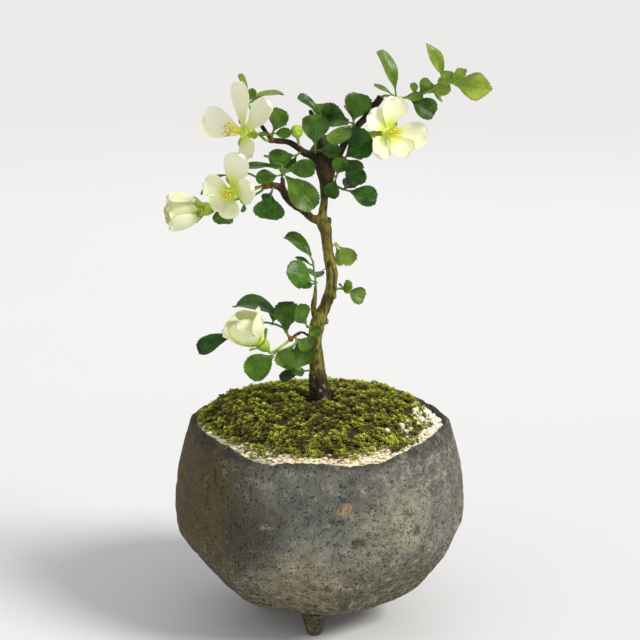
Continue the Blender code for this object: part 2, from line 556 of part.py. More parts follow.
def leaf_shape(length, width, bend, grow=0.0, start=0.0):
    """A toothed leaf along x with its stalk from the origin, its upper face to z, bent down."""
    teeth = sum(1 for least in TOOTH_LENGTHS if length > least) if width > TOOTHED_WIDTH else 0
    half = width / 2
    bend = math.radians(bend)

    def place(share, across, lift):
        angle = bend * share
        if bend > 0.01:
            spine = Vector((math.sin(angle) / bend, 0, -(1 - math.cos(angle)) / bend)) * length
        else:
            spine = Vector((share * length, 0, 0))
        normal = Vector((math.sin(angle), 0, math.cos(angle)))
        return spine + Vector((0, across, 0)) + normal * (lift + LEAF_FOLD * abs(across))

    def blade_share(part):
        return STALK_SHARE + (1 - STALK_SHARE) * part

    edge = [(0.0, STALK_HALF_WIDTH), (blade_share(0.0), max(STALK_HALF_WIDTH, half * LEAF_BASE_WIDTH))]
    if teeth:
        span = TEETH_SPAN / teeth
        for k in range(teeth):
            notch = TEETH_FROM + span * k
            point = notch + TOOTH_POINT * span
            edge.append((blade_share(notch), half * (leaf_half_width(notch) - NOTCH_IN)))
            edge.append((blade_share(point), half * leaf_half_width(point) + TOOTH_OUT * width))
    else:
        edge += [(blade_share(part), half * leaf_half_width(part)) for part in PLAIN_EDGE_STOPS]
    if start:
        edge = [(start, half * leaf_half_width(start))] + [pair for pair in edge if pair[0] > start]
    shares = [blade_share(part) for part in MIDRIB_STOPS if blade_share(part) > start]
    shares.append(1.0 + grow / length)
    lift = BLADE_THICKNESS / 2 + grow
    flat = [(share, 0.0) for share in shares]
    left = list(range(len(flat), len(flat) + len(edge)))
    flat += [(share, across + grow) for share, across in edge]
    right = list(range(len(flat), len(flat) + len(edge)))
    flat += [(share, -across - grow) for share, across in edge]
    tip = len(shares) - 1
    spine = list(range(len(shares)))
    stalk = 0 if start else 1
    edge_shares = [share for share, _ in edge[stalk:]] + [shares[-1]]
    faces = strip(spine, shares, left[stalk:] + [tip], edge_shares)
    faces += [face[::-1] for face in strip(spine, shares, right[stalk:] + [tip], edge_shares)]
    faces.append((left[stalk], right[stalk], 0))
    if stalk:
        faces += [(left[0], right[0], right[1]), (left[0], right[1], left[1])]
    border = right + [tip] + left[::-1]
    top = [place(share, across, lift) for share, across in flat]
    bottom = [place(share, across, -lift) for share, across in flat]
    return thick_sheet(top, bottom, faces, border)


def leaf_matrix(start, heading, lean, turn):
    """Puts a leaf at its start, pointing by heading and lean, its face turned about the midrib."""
    heading, lean = math.radians(heading), math.radians(lean)
    along = Vector((math.cos(heading) * math.cos(lean), -math.sin(lean),
                    math.sin(heading) * math.cos(lean)))
    facing = Vector(LEAF_FACING)
    up = (facing - along * facing.dot(along)).normalized()
    up = Matrix.Rotation(math.radians(turn), 3, along) @ up
    side = up.cross(along)
    return Matrix.Translation(start) @ Matrix((along, side, up)).transposed().to_4x4()


def petal_shape(length, width):
    """A cupped, round petal along x from its narrow claw, its hollow face to z."""
    flat = []
    for share, breadth in PETAL_ROWS:
        for column in PETAL_COLUMNS:
            along = length * share * (1 - PETAL_ROUND_END * share ** 3 * column ** 2)
            across = width / 2 * breadth * column
            rise = length * PETAL_RISE * share ** 2 + width * PETAL_CUP * breadth * column ** 2
            slope = math.atan(2 * PETAL_RISE * share)
            flat.append((Vector((along, across, rise)), Vector((-math.sin(slope), 0, math.cos(slope)))))
    columns = len(PETAL_COLUMNS)
    faces = []
    for i in range(len(PETAL_ROWS) - 1):
        for k in range(columns - 1):
            a = i * columns + k
            corners = (a, a + columns, a + columns + 1, a + 1)
            if k < columns // 2:
                faces += [(corners[0], corners[1], corners[2]), (corners[0], corners[2], corners[3])]
            else:
                faces += [(corners[0], corners[1], corners[3]), (corners[1], corners[2], corners[3])]
    last = (len(PETAL_ROWS) - 1) * columns
    claw = [len(flat), len(flat) + 1]
    for side in (-1, 1):
        flat.append((Vector((0, side * width / 2 * PETAL_CLAW, 0)), Vector((0, 0, 1))))
    middle = columns // 2
    faces += [(claw[0], k, k + 1) for k in range(middle)] + [(claw[0], middle, claw[1])]
    faces += [(claw[1], k, k + 1) for k in range(middle, columns - 1)]
    border = [claw[0]] + [i * columns for i in range(len(PETAL_ROWS))]
    border += [last + k for k in range(1, columns)]
    border += [i * columns + columns - 1 for i in reversed(range(len(PETAL_ROWS) - 1))] + [claw[1]]
    top = [point + normal * PETAL_THICKNESS / 2 for point, normal in flat]
    bottom = [point - normal * PETAL_THICKNESS / 2 for point, normal in flat]
    return thick_sheet(top, bottom, faces, border)


def sepal_shape():
    """A short plain green lobe along x."""
    curl = SEPAL_LENGTH * SEPAL_CURL
    flat = [Vector((SEPAL_LENGTH * share, side * SEPAL_WIDTH / 2 * breadth, curl * share ** 2))
            for share, breadth in SEPAL_ROWS for side in (-1, 1)]
    faces = [(0, 2, 3), (0, 3, 1), (2, 4, 5), (2, 5, 3)]
    lift = Vector((0, 0, BLADE_THICKNESS / 2))
    return thick_sheet([p + lift for p in flat], [p - lift for p in flat], faces, [0, 2, 4, 5, 3, 1])


def turned_shape(profile, sides):
    """A solid turned about z from (radius, height) points, the first and last closed by a cap."""
    verts = [Vector((radius * math.cos(2 * math.pi * k / sides), radius * math.sin(2 * math.pi * k / sides),
                     height)) for radius, height in profile for k in range(sides)]
    faces = []
    for i in range(len(profile) - 1):
        for k in range(sides):
            a, b = i * sides + k, i * sides + (k + 1) % sides
            faces.append((a, a + sides, b + sides, b))
    last = (len(profile) - 1) * sides
    faces.append(tuple(range(sides)))
    faces.append(tuple(last + k for k in reversed(range(sides))))
    return verts, faces


# Pot.

def wall_point(radius, height, azimuth, inset):
    """A point of the wall: the turned profile, paddled flat on its facets and waved at the rim."""
    angle = math.radians(azimuth)
    point = Vector((radius * math.cos(angle), radius * math.sin(angle), height - FLATS_MIDDLE))
    for flat_azimuth, tilt, distance in FLATS:
        turn, fall = math.radians(flat_azimuth), math.radians(tilt)
        normal = Vector((math.cos(turn) * math.cos(fall), math.sin(turn) * math.cos(fall), -math.sin(fall)))
        proud = normal.dot(point) - (distance - inset)
        point -= normal * (proud + math.sqrt(proud ** 2 + FLATS_SOFTNESS ** 2)) / 2
    point.z += FLATS_MIDDLE
    lift = max(0.0, (height - RIM_WAVE_FROM) / (RIM_BASE - RIM_WAVE_FROM)) ** 2
    point.z += (round_table(RIM_HEIGHTS, azimuth) - RIM_BASE) * lift
    return point


def ring_shape(rows):
    """A ring-shaped body: rows of points right round the pot, the last row joined to the first."""
    verts = [point for row in rows for point in row]
    faces = []
    for i in range(len(rows)):
        below = (i + 1) % len(rows)
        for k in range(SEGMENTS):
            near = (k + 1) % SEGMENTS
            a, b = i * SEGMENTS + k, i * SEGMENTS + near
            c, d = below * SEGMENTS + near, below * SEGMENTS + k
            faces += [(a, d, c), (a, c, b)]
    return verts, faces


def azimuths():
    return [360 * k / SEGMENTS for k in range(SEGMENTS)]


def make_pot(parent):
    rows = [[wall_point(radius, height, azimuth, 0.0) for azimuth in azimuths()]
            for radius, height in OUTER_PROFILE]
    rows += [[wall_point(radius, height, azimuth, WALL_AT_FLATS) for azimuth in azimuths()]
             for radius, height in INNER_PROFILE]
    shapes = [ring_shape(rows)]
    for azimuth in FOOT_AZIMUTHS:
        place = Matrix.Translation(on_circle(FOOT_DISTANCE, azimuth, 0))
        shapes.append(moved(turned_shape(FOOT_PROFILE, FOOT_SIDES), place))
    return dress(fuse("pot", shapes), "stoneware", parent, 35)


def inner_row(height, inset):
    """Points right round the inside of the wall at a height, set in from it."""
    pairs = list(zip(INNER_PROFILE, INNER_PROFILE[1:]))
    for (low_radius, low), (high_radius, high) in pairs:
        if low <= height <= high:
            radius = low_radius + (high_radius - low_radius) * (height - low) / (high - low)
    return [wall_point(radius - inset, height, azimuth, WALL_AT_FLATS + inset) for azimuth in azimuths()]


def on_circle(radius, azimuth, height):
    angle = math.radians(azimuth)
    return Vector((radius * math.cos(angle), radius * math.sin(angle), height))


def flat_row(radius, height):
    return [on_circle(radius, azimuth, height) for azimuth in azimuths()]


def dome(point):
    """Height of the domed fill at a point, fuller to the sides than to the front and back."""
    return DOME_TOP - DOME_FALL * math.hypot(point[0] / DOME_STRETCH, point[1]) ** 3


def make_net(parent):
    """A square of plastic net over the drain hole."""
    marks = [0.0]
    for cell in range(2 * NET_BARS - 1):
        marks.append(marks[-1] + (NET_HOLE_WIDTH if cell % 2 else NET_BAR_WIDTH))
    marks = [(mark - marks[-1] / 2) * MM for mark in marks]
    mesh = bmesh.new()
    grid = [[mesh.verts.new((x, y, 0)) for x in marks] for y in marks]
    for j in range(len(marks) - 1):
        for i in range(len(marks) - 1):
            if i % 2 == 0 or j % 2 == 0:
                mesh.faces.new((grid[j][i], grid[j][i + 1], grid[j + 1][i + 1], grid[j + 1][i]))
    sheet = bmesh.ops.extrude_face_region(mesh, geom=mesh.faces[:])
    raised = [part for part in sheet["geom"] if isinstance(part, bmesh.types.BMVert)]
    bmesh.ops.translate(mesh, verts=raised, vec=(0, 0, NET_THICKNESS * MM))
    bmesh.ops.recalc_face_normals(mesh, faces=mesh.faces)
    data = bpy.data.meshes.new("drain_net")
    mesh.to_mesh(data)
    mesh.free()
    net = bpy.data.objects.new("drain_net", data)
    bpy.context.scene.collection.objects.link(net)
    net.location = Vector((0, 0, POT_FLOOR + GAP)) * MM
    return dress(net, "net", parent)


def make_soil(parent):
    """The fill: a dome with a plain hole for the trunk, a shelf for the grit, and the pot's inside."""
    floor = POT_FLOOR + GAP + NET_THICKNESS + GAP
    top = [(TRUNK_HOLE, HOLE_FLOOR), (TRUNK_HOLE, COLLAR_HEIGHT), (COLLAR_RADIUS, COLLAR_HEIGHT - 0.3)]
    rows = [flat_row(radius, height) for radius, height in top]
    for radius in (COLLAR_RADIUS + 0.4, 19, SHELF_RADIUS):
        rows.append([Vector((*p.xy, dome(p) - SOIL_UNDER_MOSS)) for p in flat_row(radius, 0)])
    rows.append(flat_row(SHELF_RADIUS, SHELF_HEIGHT))
    rows += [inner_row(height, SOIL_CLEARANCE) for height in (SHELF_HEIGHT, 43.0, 27.0, 18.5)]
    rows.append(flat_row(SOIL_FLOOR_RADIUS, floor))
    verts = [point for row in rows for point in row]
    faces = []
    for i in range(len(rows) - 1):
        for k in range(SEGMENTS):
            near = (k + 1) % SEGMENTS
            a, b = i * SEGMENTS + k, i * SEGMENTS + near
            faces += [(a, a + SEGMENTS, b + SEGMENTS), (a, b + SEGMENTS, b)]
    last = (len(rows) - 1) * SEGMENTS
    faces.append(tuple(range(SEGMENTS)))
    faces.append(tuple(last + k for k in reversed(range(SEGMENTS))))
    return dress(solid("soil", (verts, faces)), "soil", parent, 40)


def make_grit(parent):
    """The pale bed between the moss and the rim: a ring with a rough top and grains sunk into it."""
    draw = random.Random(11)
    bottom = SHELF_HEIGHT + GAP
    inner = SHELF_RADIUS + 0.5
    rows = [flat_row(inner, GRIT_TOP - 0.3), flat_row(inner, bottom), inner_row(bottom, GRIT_CLEARANCE)]
    outer = [point.xy.length for point in inner_row(GRIT_TOP, GRIT_CLEARANCE)]
    for share in (1.0, 0.72, 0.36):
        row = []
        for k, azimuth in enumerate(azimuths()):
            radius = inner + (outer[k] - inner) * share
            under_moss = radius < round_table(MOSS_EDGES, azimuth) + 0.8
            height = GRIT_TOP + draw.uniform(-GRIT_ROUGHNESS, 0.0 if under_moss else GRIT_ROUGHNESS)
            row.append(on_circle(radius, azimuth, height))
        rows.append(row)
    verts, faces = ring_shape(rows)
    shapes = [(verts, [face[::-1] for face in faces])]
    for index in range(GRAIN_COUNT):
        azimuth = 360 * (index + draw.uniform(-0.3, 0.3)) / GRAIN_COUNT
        low = round_table(MOSS_EDGES, azimuth) + GRAIN_FROM_MOSS
        high = outer[round(azimuth / 360 * SEGMENTS) % SEGMENTS] - GRAIN_FROM_WALL
        size = draw.uniform(*GRAIN_SIZES)
        if high > low:
            spot = on_circle(draw.uniform(low, high), azimuth, GRIT_TOP + 0.2)
            shapes.append(ball_shape(spot, size, index))
    return dress(fuse("grit", shapes), "grit", parent)


def moss_height(point, draw):
    """Top of the moss at a point: the dome, with a tuft or a dip."""
    radius = Vector(point).length
    edge = round_table(MOSS_EDGES, math.degrees(math.atan2(point[1], point[0])))
    height = dome(point) + MOSS_TUFT_HEIGHT * (draw.random() - 0.35)
    roundings = ((MOSS_OUTER_ROUNDING, edge - radius), (MOSS_INNER_ROUNDING, radius - MOSS_HOLE))
    for (depth, breadth), inside in roundings:
        height -= depth * max(0.0, 1 - inside / breadth) ** 2
    return height


def moss_floor(point):
    return max(dome(point) - MOSS_THICKNESS, MOSS_FLOOR)


def make_moss(parent):
    """One carpet: a tufted top and a plain lower face over the soil and the grit, joined at its edges."""
    draw = random.Random(5)
    rim = []
    for k in range(MOSS_RIM_POINTS):
        azimuth = 360 * k / MOSS_RIM_POINTS
        rim.append(on_circle(round_table(MOSS_EDGES, azimuth) + draw.uniform(-0.5, 0.5), azimuth, 0).xy)
    hole = [on_circle(MOSS_HOLE, 360 * k / MOSS_HOLE_POINTS, 0).xy for k in range(MOSS_HOLE_POINTS)]
    loops = rim + hole[::-1]
    borders = [(k, (k + 1) % MOSS_RIM_POINTS) for k in range(MOSS_RIM_POINTS)]
    borders += [(MOSS_RIM_POINTS + k, MOSS_RIM_POINTS + (k + 1) % MOSS_HOLE_POINTS)
                for k in range(MOSS_HOLE_POINTS)]

    def face_of(pitch, jitter):
        """Points and triangles between the two loops, on a lattice of the given pitch."""
        points = list(loops)
        rows = int(40 / (pitch * 0.866))
        for j in range(-rows, rows + 1):
            for i in range(-rows - 4, rows + 5):
                spot = Vector(((i + 0.5 * (j % 2)) * pitch, j * pitch * 0.866))
                spot += Vector((draw.uniform(-1, 1), draw.uniform(-1, 1))) * jitter * pitch
                edge = round_table(MOSS_EDGES, math.degrees(math.atan2(spot.y, spot.x)))
                if MOSS_HOLE + pitch * 0.55 < spot.length < edge - pitch * 0.55:
                    points.append(spot)
        result = delaunay_2d_cdt(points, borders, [], 2, 1e-6)
        faces = []
        for face in result[2]:
            middle = sum((result[0][i] for i in face), Vector((0, 0))) / 3
            edge = round_table(MOSS_EDGES, math.degrees(math.atan2(middle.y, middle.x)))
            if MOSS_HOLE * 0.97 < middle.length < edge + 0.6:
                faces.append(tuple(face))
        return result[0], faces

    top_points, top_faces = face_of(MOSS_TUFT_PITCH, 0.16)
    low_points, low_faces = face_of(MOSS_LOW_PITCH, 0.05)
    verts = [Vector((*p, moss_height(p, draw))) for p in top_points]
    offset = len(verts)
    for p in low_points:
        verts.append(Vector((*p, moss_floor(p))))
    for vert in verts[:offset]:
        vert.z = max(vert.z, moss_floor(vert.xy) + MOSS_LEAST)
    faces = top_faces + [tuple(i + offset for i in face[::-1]) for face in low_faces]
    for a, b in borders:
        faces += [(b, a, a + offset), (b, a + offset, b + offset)]
    carpet = solid("moss", (verts, faces))
    mesh = bmesh.new()
    mesh.from_mesh(carpet.data)
    bmesh.ops.recalc_face_normals(mesh, faces=mesh.faces)
    mesh.to_mesh(carpet.data)
    mesh.free()
    return dress(carpet, "moss", parent)


# Wood.

def make_wood(parent):
    """Trunk, branches, twigs and knots, grown as one piece."""
    shapes = []
    for number, points in enumerate(LIMBS.values()):
        centres = [Vector(point[:3]) for point in points]
        radii = [point[3] for point in points]
        sides = LEAST_LIMB_SIDES + sum(1 for least in LIMB_SIDE_RADII if radii[0] > least)
        shapes.append(tube_shape(centres, radii, sides, BARK_ROUGHNESS, seed=number))
    for number, (x, y, z, radius) in enumerate(KNOTS):
        shapes.append(ball_shape((x, y, z), radius, 40 + number))
    return dress(fuse("wood", shapes), "bark", parent, 60)


# Blooms.

def bloom_frame(bloom):
    """The bloom's own frame: z out along its axis and y as near to upright as it can be."""
    axis = unit(bloom["axis"])
    up = unit(Vector((0, 0, 1)) - axis * axis.z)
    side = up.cross(axis)
    return Matrix.Translation(bloom["at"]) @ Matrix((side, up, axis)).transposed().to_4x4()


def spread_matrix(radius, height, azimuth, opening):
    """Places a petal or sepal on a bloom: out at an azimuth, opened from the axis, hollow face in."""
    angle, tilt = math.radians(azimuth), math.radians(opening)
    out = Vector((math.cos(angle), math.sin(angle), 0))
    along = out * math.sin(tilt) + Vector((0, 0, math.cos(tilt)))
    up = Vector((0, 0, math.sin(tilt))) - out * math.cos(tilt)
    side = up.cross(along)
    place = out * radius + Vector((0, 0, height))
    return Matrix.Translation(place) @ Matrix((along, side, up)).transposed().to_4x4()


def stamen_shape(azimuth, splay, length):
    """One filament with its anther, from inside the stamens' disc."""
    tilt = math.radians(splay)
    out = Vector((math.cos(azimuth), math.sin(azimuth), 0))
    up = Vector((0, 0, 1))
    direction = out * math.sin(tilt) + up * math.cos(tilt)
    off_axis, height = STAMEN_ROOT
    start = out * off_axis + up * height
    return tube_shape([start + direction * length * stop for stop in STAMEN_STOPS], STAMEN_RADII, 3)


def make_bloom(name, bloom, root, bark):
    frame = bloom_frame(bloom)
    draw = random.Random(name)
    holder = bpy.data.objects.new("bloom_" + name, None)
    bpy.context.scene.collection.objects.link(holder)
    holder.parent = root
    holder.matrix_basis = Matrix.Translation(frame.translation * MM) @ frame.to_3x3().to_4x4()

    disc = turned_shape([(RECEPTACLE_RADIUS, RECEPTACLE_HALF), (RECEPTACLE_RADIUS, -RECEPTACLE_HALF)], 8)
    petals = [disc]
    for azimuth, opening, length, width in bloom["petals"]:
        place = spread_matrix(PETAL_ROOT, 0.0, azimuth, opening)
        petals.append(moved(petal_shape(length, width), place))
    corolla = dress(fuse("bloom_" + name + "_petals", petals), "petal", holder, 50)

    count, length, splay = bloom["stamens"]
    stamens = [turned_shape(STAMEN_BASE, 6)]
    for index in range(count):
        tilt = splay * math.sqrt((index + 0.5) / count)
        stamens.append(stamen_shape(STAMEN_TURN * index, tilt, length * draw.uniform(0.86, 1.0)))
    tuft = dress(fuse("bloom_" + name + "_stamens", stamens), "stamen", holder)

    green = [turned_shape(CALYX_PROFILE, CALYX_SIDES)]
    order = sorted(petal[0] % 360 for petal in bloom["petals"])
    opening = max(petal[1] for petal in bloom["petals"])
    for low, high in zip(order, order[1:] + [order[0] + 360]):
        sepal_opening = min(opening + SEPAL_MORE_OPEN, SEPAL_WIDEST_OPENING)
        place = spread_matrix(*SEPAL_ROOT, (low + high) / 2, sepal_opening)
        green.append(moved(sepal_shape(), place))
    start, direction = spring("bloom_" + name, bark)
    run = [start, start + direction * PEDICEL_FIRST_STRETCH] + [Vector(p) for p in bloom["pedicel"]]
    into = frame.inverted()
    run = [into @ p for p in run] + [Vector((0, 0, height)) for height in PEDICEL_END_HEIGHTS]
    green.append(tube_shape(run, [PEDICEL_RADIUS] * len(run), STEM_SIDES))
    calyx = dress(fuse("bloom_" + name + "_calyx", green), "calyx", holder, 50)
    return [corolla, tuft, calyx]


def make_bud(parent, bark):
    """The round green flower bud on its short stalk."""
    start, direction = spring("flower_bud", bark)
    place = Vector(BUD_PLACE)
    axis = (place - start).normalized()
    run = [start, start + direction * BUD_RADIUS / 2, place - axis * BUD_RADIUS, place]
    stalk = tube_shape(run, BUD_STALK_RADII, 5)
    profile = []
    for latitude in BUD_LATITUDES:
        angle = math.radians(latitude)
        profile.append((BUD_RADIUS * math.sin(angle), BUD_RADIUS * BUD_LENGTHENED * math.cos(angle)))
    ball = turned_shape(profile, 9)
    turn = axis.to_track_quat("Z", "Y").to_matrix().to_4x4()
    ball = moved(ball, Matrix.Translation(place) @ turn)
    return dress(fuse("flower_bud", [ball, stalk]), "calyx", parent, 60)


# Sprays of leaves.

def make_spray(name, parent, bark, others):
    """A short green stem with its leaves, each bent clear of the other bodies and of its fellows."""
    extra, leaves = SPRAYS[name]
    start, direction = spring(name, bark)
    run = [start, start + direction * STEM_LENGTH]
    run += [start + direction * STEM_LENGTH + Vector(p) for p in extra]
    if extra:
        steps = 2 if len(extra) > 2 else 1
        run = [run[0], start + direction * STEM_LENGTH / 2] + smooth_run(run[1:], steps)[1:]
    radii = [STEM_RADIUS * (1 - STEM_TAPER * i / (len(run) - 1)) for i in range(len(run))]
    shapes = [tube_shape(run, radii, STEM_SIDES)]
    fellows = []
    for share, heading, lean, length, width, turn, bend in leaves:
        spot = (LEAVES_FROM + (LEAVES_TO - LEAVES_FROM) * share) * (len(run) - 1)
        low = min(int(spot), len(run) - 2)
        root = run[low].lerp(run[low + 1], spot - low)
        best = None
        for lean_change, head_change in BEND_TRIES:
            matrix = leaf_matrix(root, heading + head_change, lean + lean_change, turn)
            whole = moved(leaf_shape(length, width, bend, grow=CLEAR_OF_OTHERS), matrix)
            outer = moved(leaf_shape(length, width, bend, grow=CLEAR_OF_OTHERS,
                                     start=CLEAR_OF_FELLOWS_FROM), matrix)
            tree = BVHTree.FromPolygons(*whole)
            outer_tree = BVHTree.FromPolygons(*outer)
            crossed = sum(len(tree.overlap(other)) for other in others)
            crossed += sum(len(outer_tree.overlap(fellow)) for fellow in fellows)
            if best is None or crossed < best[0]:
                best = (crossed, matrix, outer_tree)
            if crossed == 0:
                break
        fellows.append(best[2])
        shapes.append(moved(leaf_shape(length, width, bend), best[1]))
    return dress(fuse(name, shapes), "leaf", parent)


# The whole plant.

def clear_scene():
    for piece in list(bpy.data.objects):
        bpy.data.objects.remove(piece)


def stand_on_ground(root):
    """Moves the plant so that the middle of its box stands over the origin."""
    bpy.context.view_layer.update()
    corners = [piece.matrix_world @ vert.co for piece in bpy.data.objects if piece.type == "MESH"
               for vert in piece.data.vertices]
    middle = [(min(c[i] for c in corners) + max(c[i] for c in corners)) / 2 for i in (0, 1)]
    root.location = (-middle[0], -middle[1], 0)
    bpy.context.view_layer.update()


def main():
    clear_scene()
    root = bpy.data.objects.new("bonsai", None)
    bpy.context.scene.collection.objects.link(root)
    make_pot(root)
    make_net(root)
    make_soil(root)
    grit = make_grit(root)
    moss = make_moss(root)
    wood = make_wood(root)
    bark = skin_tree(wood)
    placed = [moss, grit]
    for name, bloom in BLOOMS.items():
        placed += make_bloom(name, bloom, root, bark)
    placed.append(make_bud(root, bark))
    trees = [bark] + [skin_tree(piece) for piece in placed]
    for name in SPRAYS:
        trees.append(skin_tree(make_spray(name, root, bark, trees)))
    stand_on_ground(root)


main()
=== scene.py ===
import math
import random

import bmesh
import bpy
import numpy as np
from mathutils import Matrix, Vector, noise
from mathutils.bvhtree import BVHTree


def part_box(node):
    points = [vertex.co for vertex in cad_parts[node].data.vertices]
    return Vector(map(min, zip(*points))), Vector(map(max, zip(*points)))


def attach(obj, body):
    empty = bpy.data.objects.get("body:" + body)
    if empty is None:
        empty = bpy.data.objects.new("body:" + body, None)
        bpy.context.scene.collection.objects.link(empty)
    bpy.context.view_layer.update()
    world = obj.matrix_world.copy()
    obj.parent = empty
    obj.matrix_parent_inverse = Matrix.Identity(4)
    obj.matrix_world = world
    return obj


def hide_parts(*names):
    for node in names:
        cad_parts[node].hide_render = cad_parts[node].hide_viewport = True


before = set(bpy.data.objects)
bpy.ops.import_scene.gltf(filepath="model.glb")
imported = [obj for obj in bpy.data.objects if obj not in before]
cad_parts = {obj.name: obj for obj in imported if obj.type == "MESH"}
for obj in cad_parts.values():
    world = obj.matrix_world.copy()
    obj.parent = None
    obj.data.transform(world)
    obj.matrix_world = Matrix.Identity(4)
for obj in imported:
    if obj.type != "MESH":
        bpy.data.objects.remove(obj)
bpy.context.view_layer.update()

MM = 0.001
net_low, net_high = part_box("drain_net")
SHIFT = np.array([(net_low.x + net_high.x) / 2, (net_low.y + net_high.y) / 2, 0.0]) / MM

GAP = 0.3
# Pot: the outer profile from the rim down and the inner one from the floor up, as (radius, height).
POT_FLOOR = 12.4
OUTER_PROFILE = [(44.6, 70.9), (45.7, 69.4), (49.0, 58.0), (50.9, 46.0), (50.9, 37.0),
                 (49.0, 28.0), (44.6, 20.5), (37.6, 14.4), (27.0, 10.0), (5.0, 6.8)]
INNER_PROFILE = [(5.0, POT_FLOOR), (19.0, POT_FLOOR), (31.0, 17.2), (41.6, 27.0), (46.6, 43.0),
                 (44.8, 60.0), (42.8, 69.4), (43.4, 70.8)]
RIM_HEIGHTS = {-170: 73.0, -149: 73.2, -135: 72.5, -122: 69.6, -113: 68.9, -104: 70.3, -90: 70.7,
               -76: 69.4, -64: 69.2, -54: 70.7, -43: 72.0, -24: 73.2, -8: 72.6, 12: 70.2, 26: 70.0,
               48: 71.2, 75: 71.4, 95: 70.6, 120: 71.4, 150: 70.4}
RIM_BASE = 71.0
RIM_WAVE_FROM = 48.0
# Paddled flats as (azimuth, tilt below the horizontal, distance from the middle of the body).
FLATS = [(-82, 4, 46.6), (-141, 2, 48.0), (-34, 5, 47.6), (12, -3, 49.0), (62, 3, 47.6),
         (112, 5, 47.2), (160, -2, 49.0), (-104, 38, 42.6), (-50, 34, 42.4), (0, 33, 43.0),
         (50, 36, 42.6), (100, 34, 43.0), (150, 35, 42.4), (-152, 34, 43.4)]
FLATS_MIDDLE = 40.0
WALL_AT_FLATS = 4.2

FOOT_AZIMUTHS = (-95, 25, 145)
FOOT_DISTANCE = 22.0
FOOT_PROFILE = [(5.6, 12.0), (4.3, 6.6), (3.2, 2.8), (2.7, 0.8), (2.1, 0.0)]

# Fill of the pot.
DOME_TOP = 79.6
DOME_FALL = 0.00016
DOME_STRETCH = 1.22
SOIL_UNDER_MOSS = 4.8
MOSS_THICKNESS = 4.1
SHELF_RADIUS = 33.0
SHELF_HEIGHT = 62.0
TRUNK_HOLE = 4.4
COLLAR_RADIUS = 5.2
COLLAR_HEIGHT = 77.6
HOLE_FLOOR = 61.5
GRIT_TOP = 68.2
GRIT_CLEARANCE = 0.5
MOSS_FLOOR = 69.1
MOSS_HOLE = 6.1
MOSS_EDGES = {-180: 40.4, -150: 39.6, -125: 36.6, -105: 36.2, -85: 37.0, -65: 36.2, -45: 37.4,
              -20: 37.6, 5: 35.0, 30: 34.2, 60: 36.6, 90: 37.6, 120: 38.6, 150: 39.8}
MOSS_OUTER_ROUNDING = (3.4, 4.5)
MOSS_INNER_ROUNDING = (2.0, 3.0)
SOIL_CLEARANCE = 1.6
SOIL_FLOOR_RADIUS = 18.5
NET_BARS = 3
NET_BAR_WIDTH = 1.6
NET_HOLE_WIDTH = 5.4
NET_THICKNESS = 0.8

# Wood: each limb as points (x, y, z, radius).
LIMBS = {
    "trunk": [(0, 0, 61.8, 3.3), (0, 0, 70, 3.6), (0, 0, 80, 3.9), (-0.5, 0, 85, 3.4),
              (-1, -0.5, 90.5, 2.8), (-1.5, -0.5, 97, 2.5), (-1.5, 0, 102, 2.6), (-0.5, 0, 107.5, 2.7),
              (1.5, 0.5, 111.5, 2.25), (3, 1, 115.5, 2.2), (4, 1, 119.5, 2.05), (4, 1, 124.5, 2.2),
              (3, 1, 129.5, 2.05), (2.5, 0.5, 134.5, 2.05), (2, 0, 139, 2.2), (0.5, 0, 143, 2.5)],
    "left branch": [(0.5, 0, 142.5, 1.7), (-2.5, -1, 143.5, 1.6), (-5.5, -3, 146.5, 1.45),
                    (-9, -4.5, 149, 1.4), (-11, -6, 151.5, 1.4), (-12.5, -7, 154.5, 1.3),
                    (-14.5, -8, 156, 1.15), (-18, -9, 156.5, 1.2)],
    "leader": [(0.5, 0, 142.5, 1.9), (1, 0, 146, 1.6), (1.5, 1, 150, 1.45), (1.8, 1, 154.2, 2.0),
               (2, 1, 157.6, 2.9), (1.8, 1, 161, 3.5), (1.3, 1.5, 164.4, 2.6)],
    "crown left branch": [(0.5, 1, 161.5, 1.6), (-2.5, 0.5, 164.5, 1.5), (-5.5, 0, 166, 1.25),
                          (-8, -0.5, 168, 1.1), (-10.5, -1, 169.5, 1.0), (-13.5, -1.5, 170, 1.0),
                          (-16.5, -2, 170.5, 0.9)],
    "crown left twig": [(-16, -2, 170.3, 0.75), (-18.5, -1, 173.5, 0.8), (-20, 0, 175.5, 0.65),
                        (-22, 1, 178.5, 0.6), (-23.5, 1.7, 181, 0.6)],
    "crown stub": [(0.5, 1.5, 162, 1.5), (0, 3, 169.5, 1.1), (-1, 4, 175, 0.9), (-3.5, 5, 179.5, 0.7)],
    "crown right branch": [(0.5, 1, 161.5, 1.8), (5, 2, 162.8, 1.5), (7, 3, 166, 1.3),
                           (10, 4, 171, 1.2), (13.5, 4.5, 175, 1.15), (17, 4, 179, 1.25),
                           (20.5, 3, 184.3, 1.3)],
    "right twig": [(1.5, 1, 152, 0.8), (4.5, -0.5, 153, 0.6), (6.5, -2, 154.5, 0.55)],
    "side shoot": [(-0.5, 0, 106.5, 1.2), (-2, -2, 110, 1.2), (-2.1, -3, 114, 1.05),
                   (-1.6, -3.6, 117.5, 0.85), (-1.5, -4, 120.5, 0.65)],
    "low spur": [(-1.5, 0, 101.5, 0.9), (-4, -2, 102.5, 0.75), (-6, -3.5, 104, 0.7),
                 (-8, -4.5, 103.5, 0.7), (-10, -5, 102, 0.8)],
    "thin twig": [(3, 0.5, 126, 0.5), (1.2, -1.2, 125.6, 0.4), (0.2, -2.4, 125.2, 0.35)],
    "mid left spur": [(-11.8, -6.3, 153.2, 0.9), (-12.3, -6.8, 156, 0.75), (-12.6, -7, 158.6, 0.7)],
}
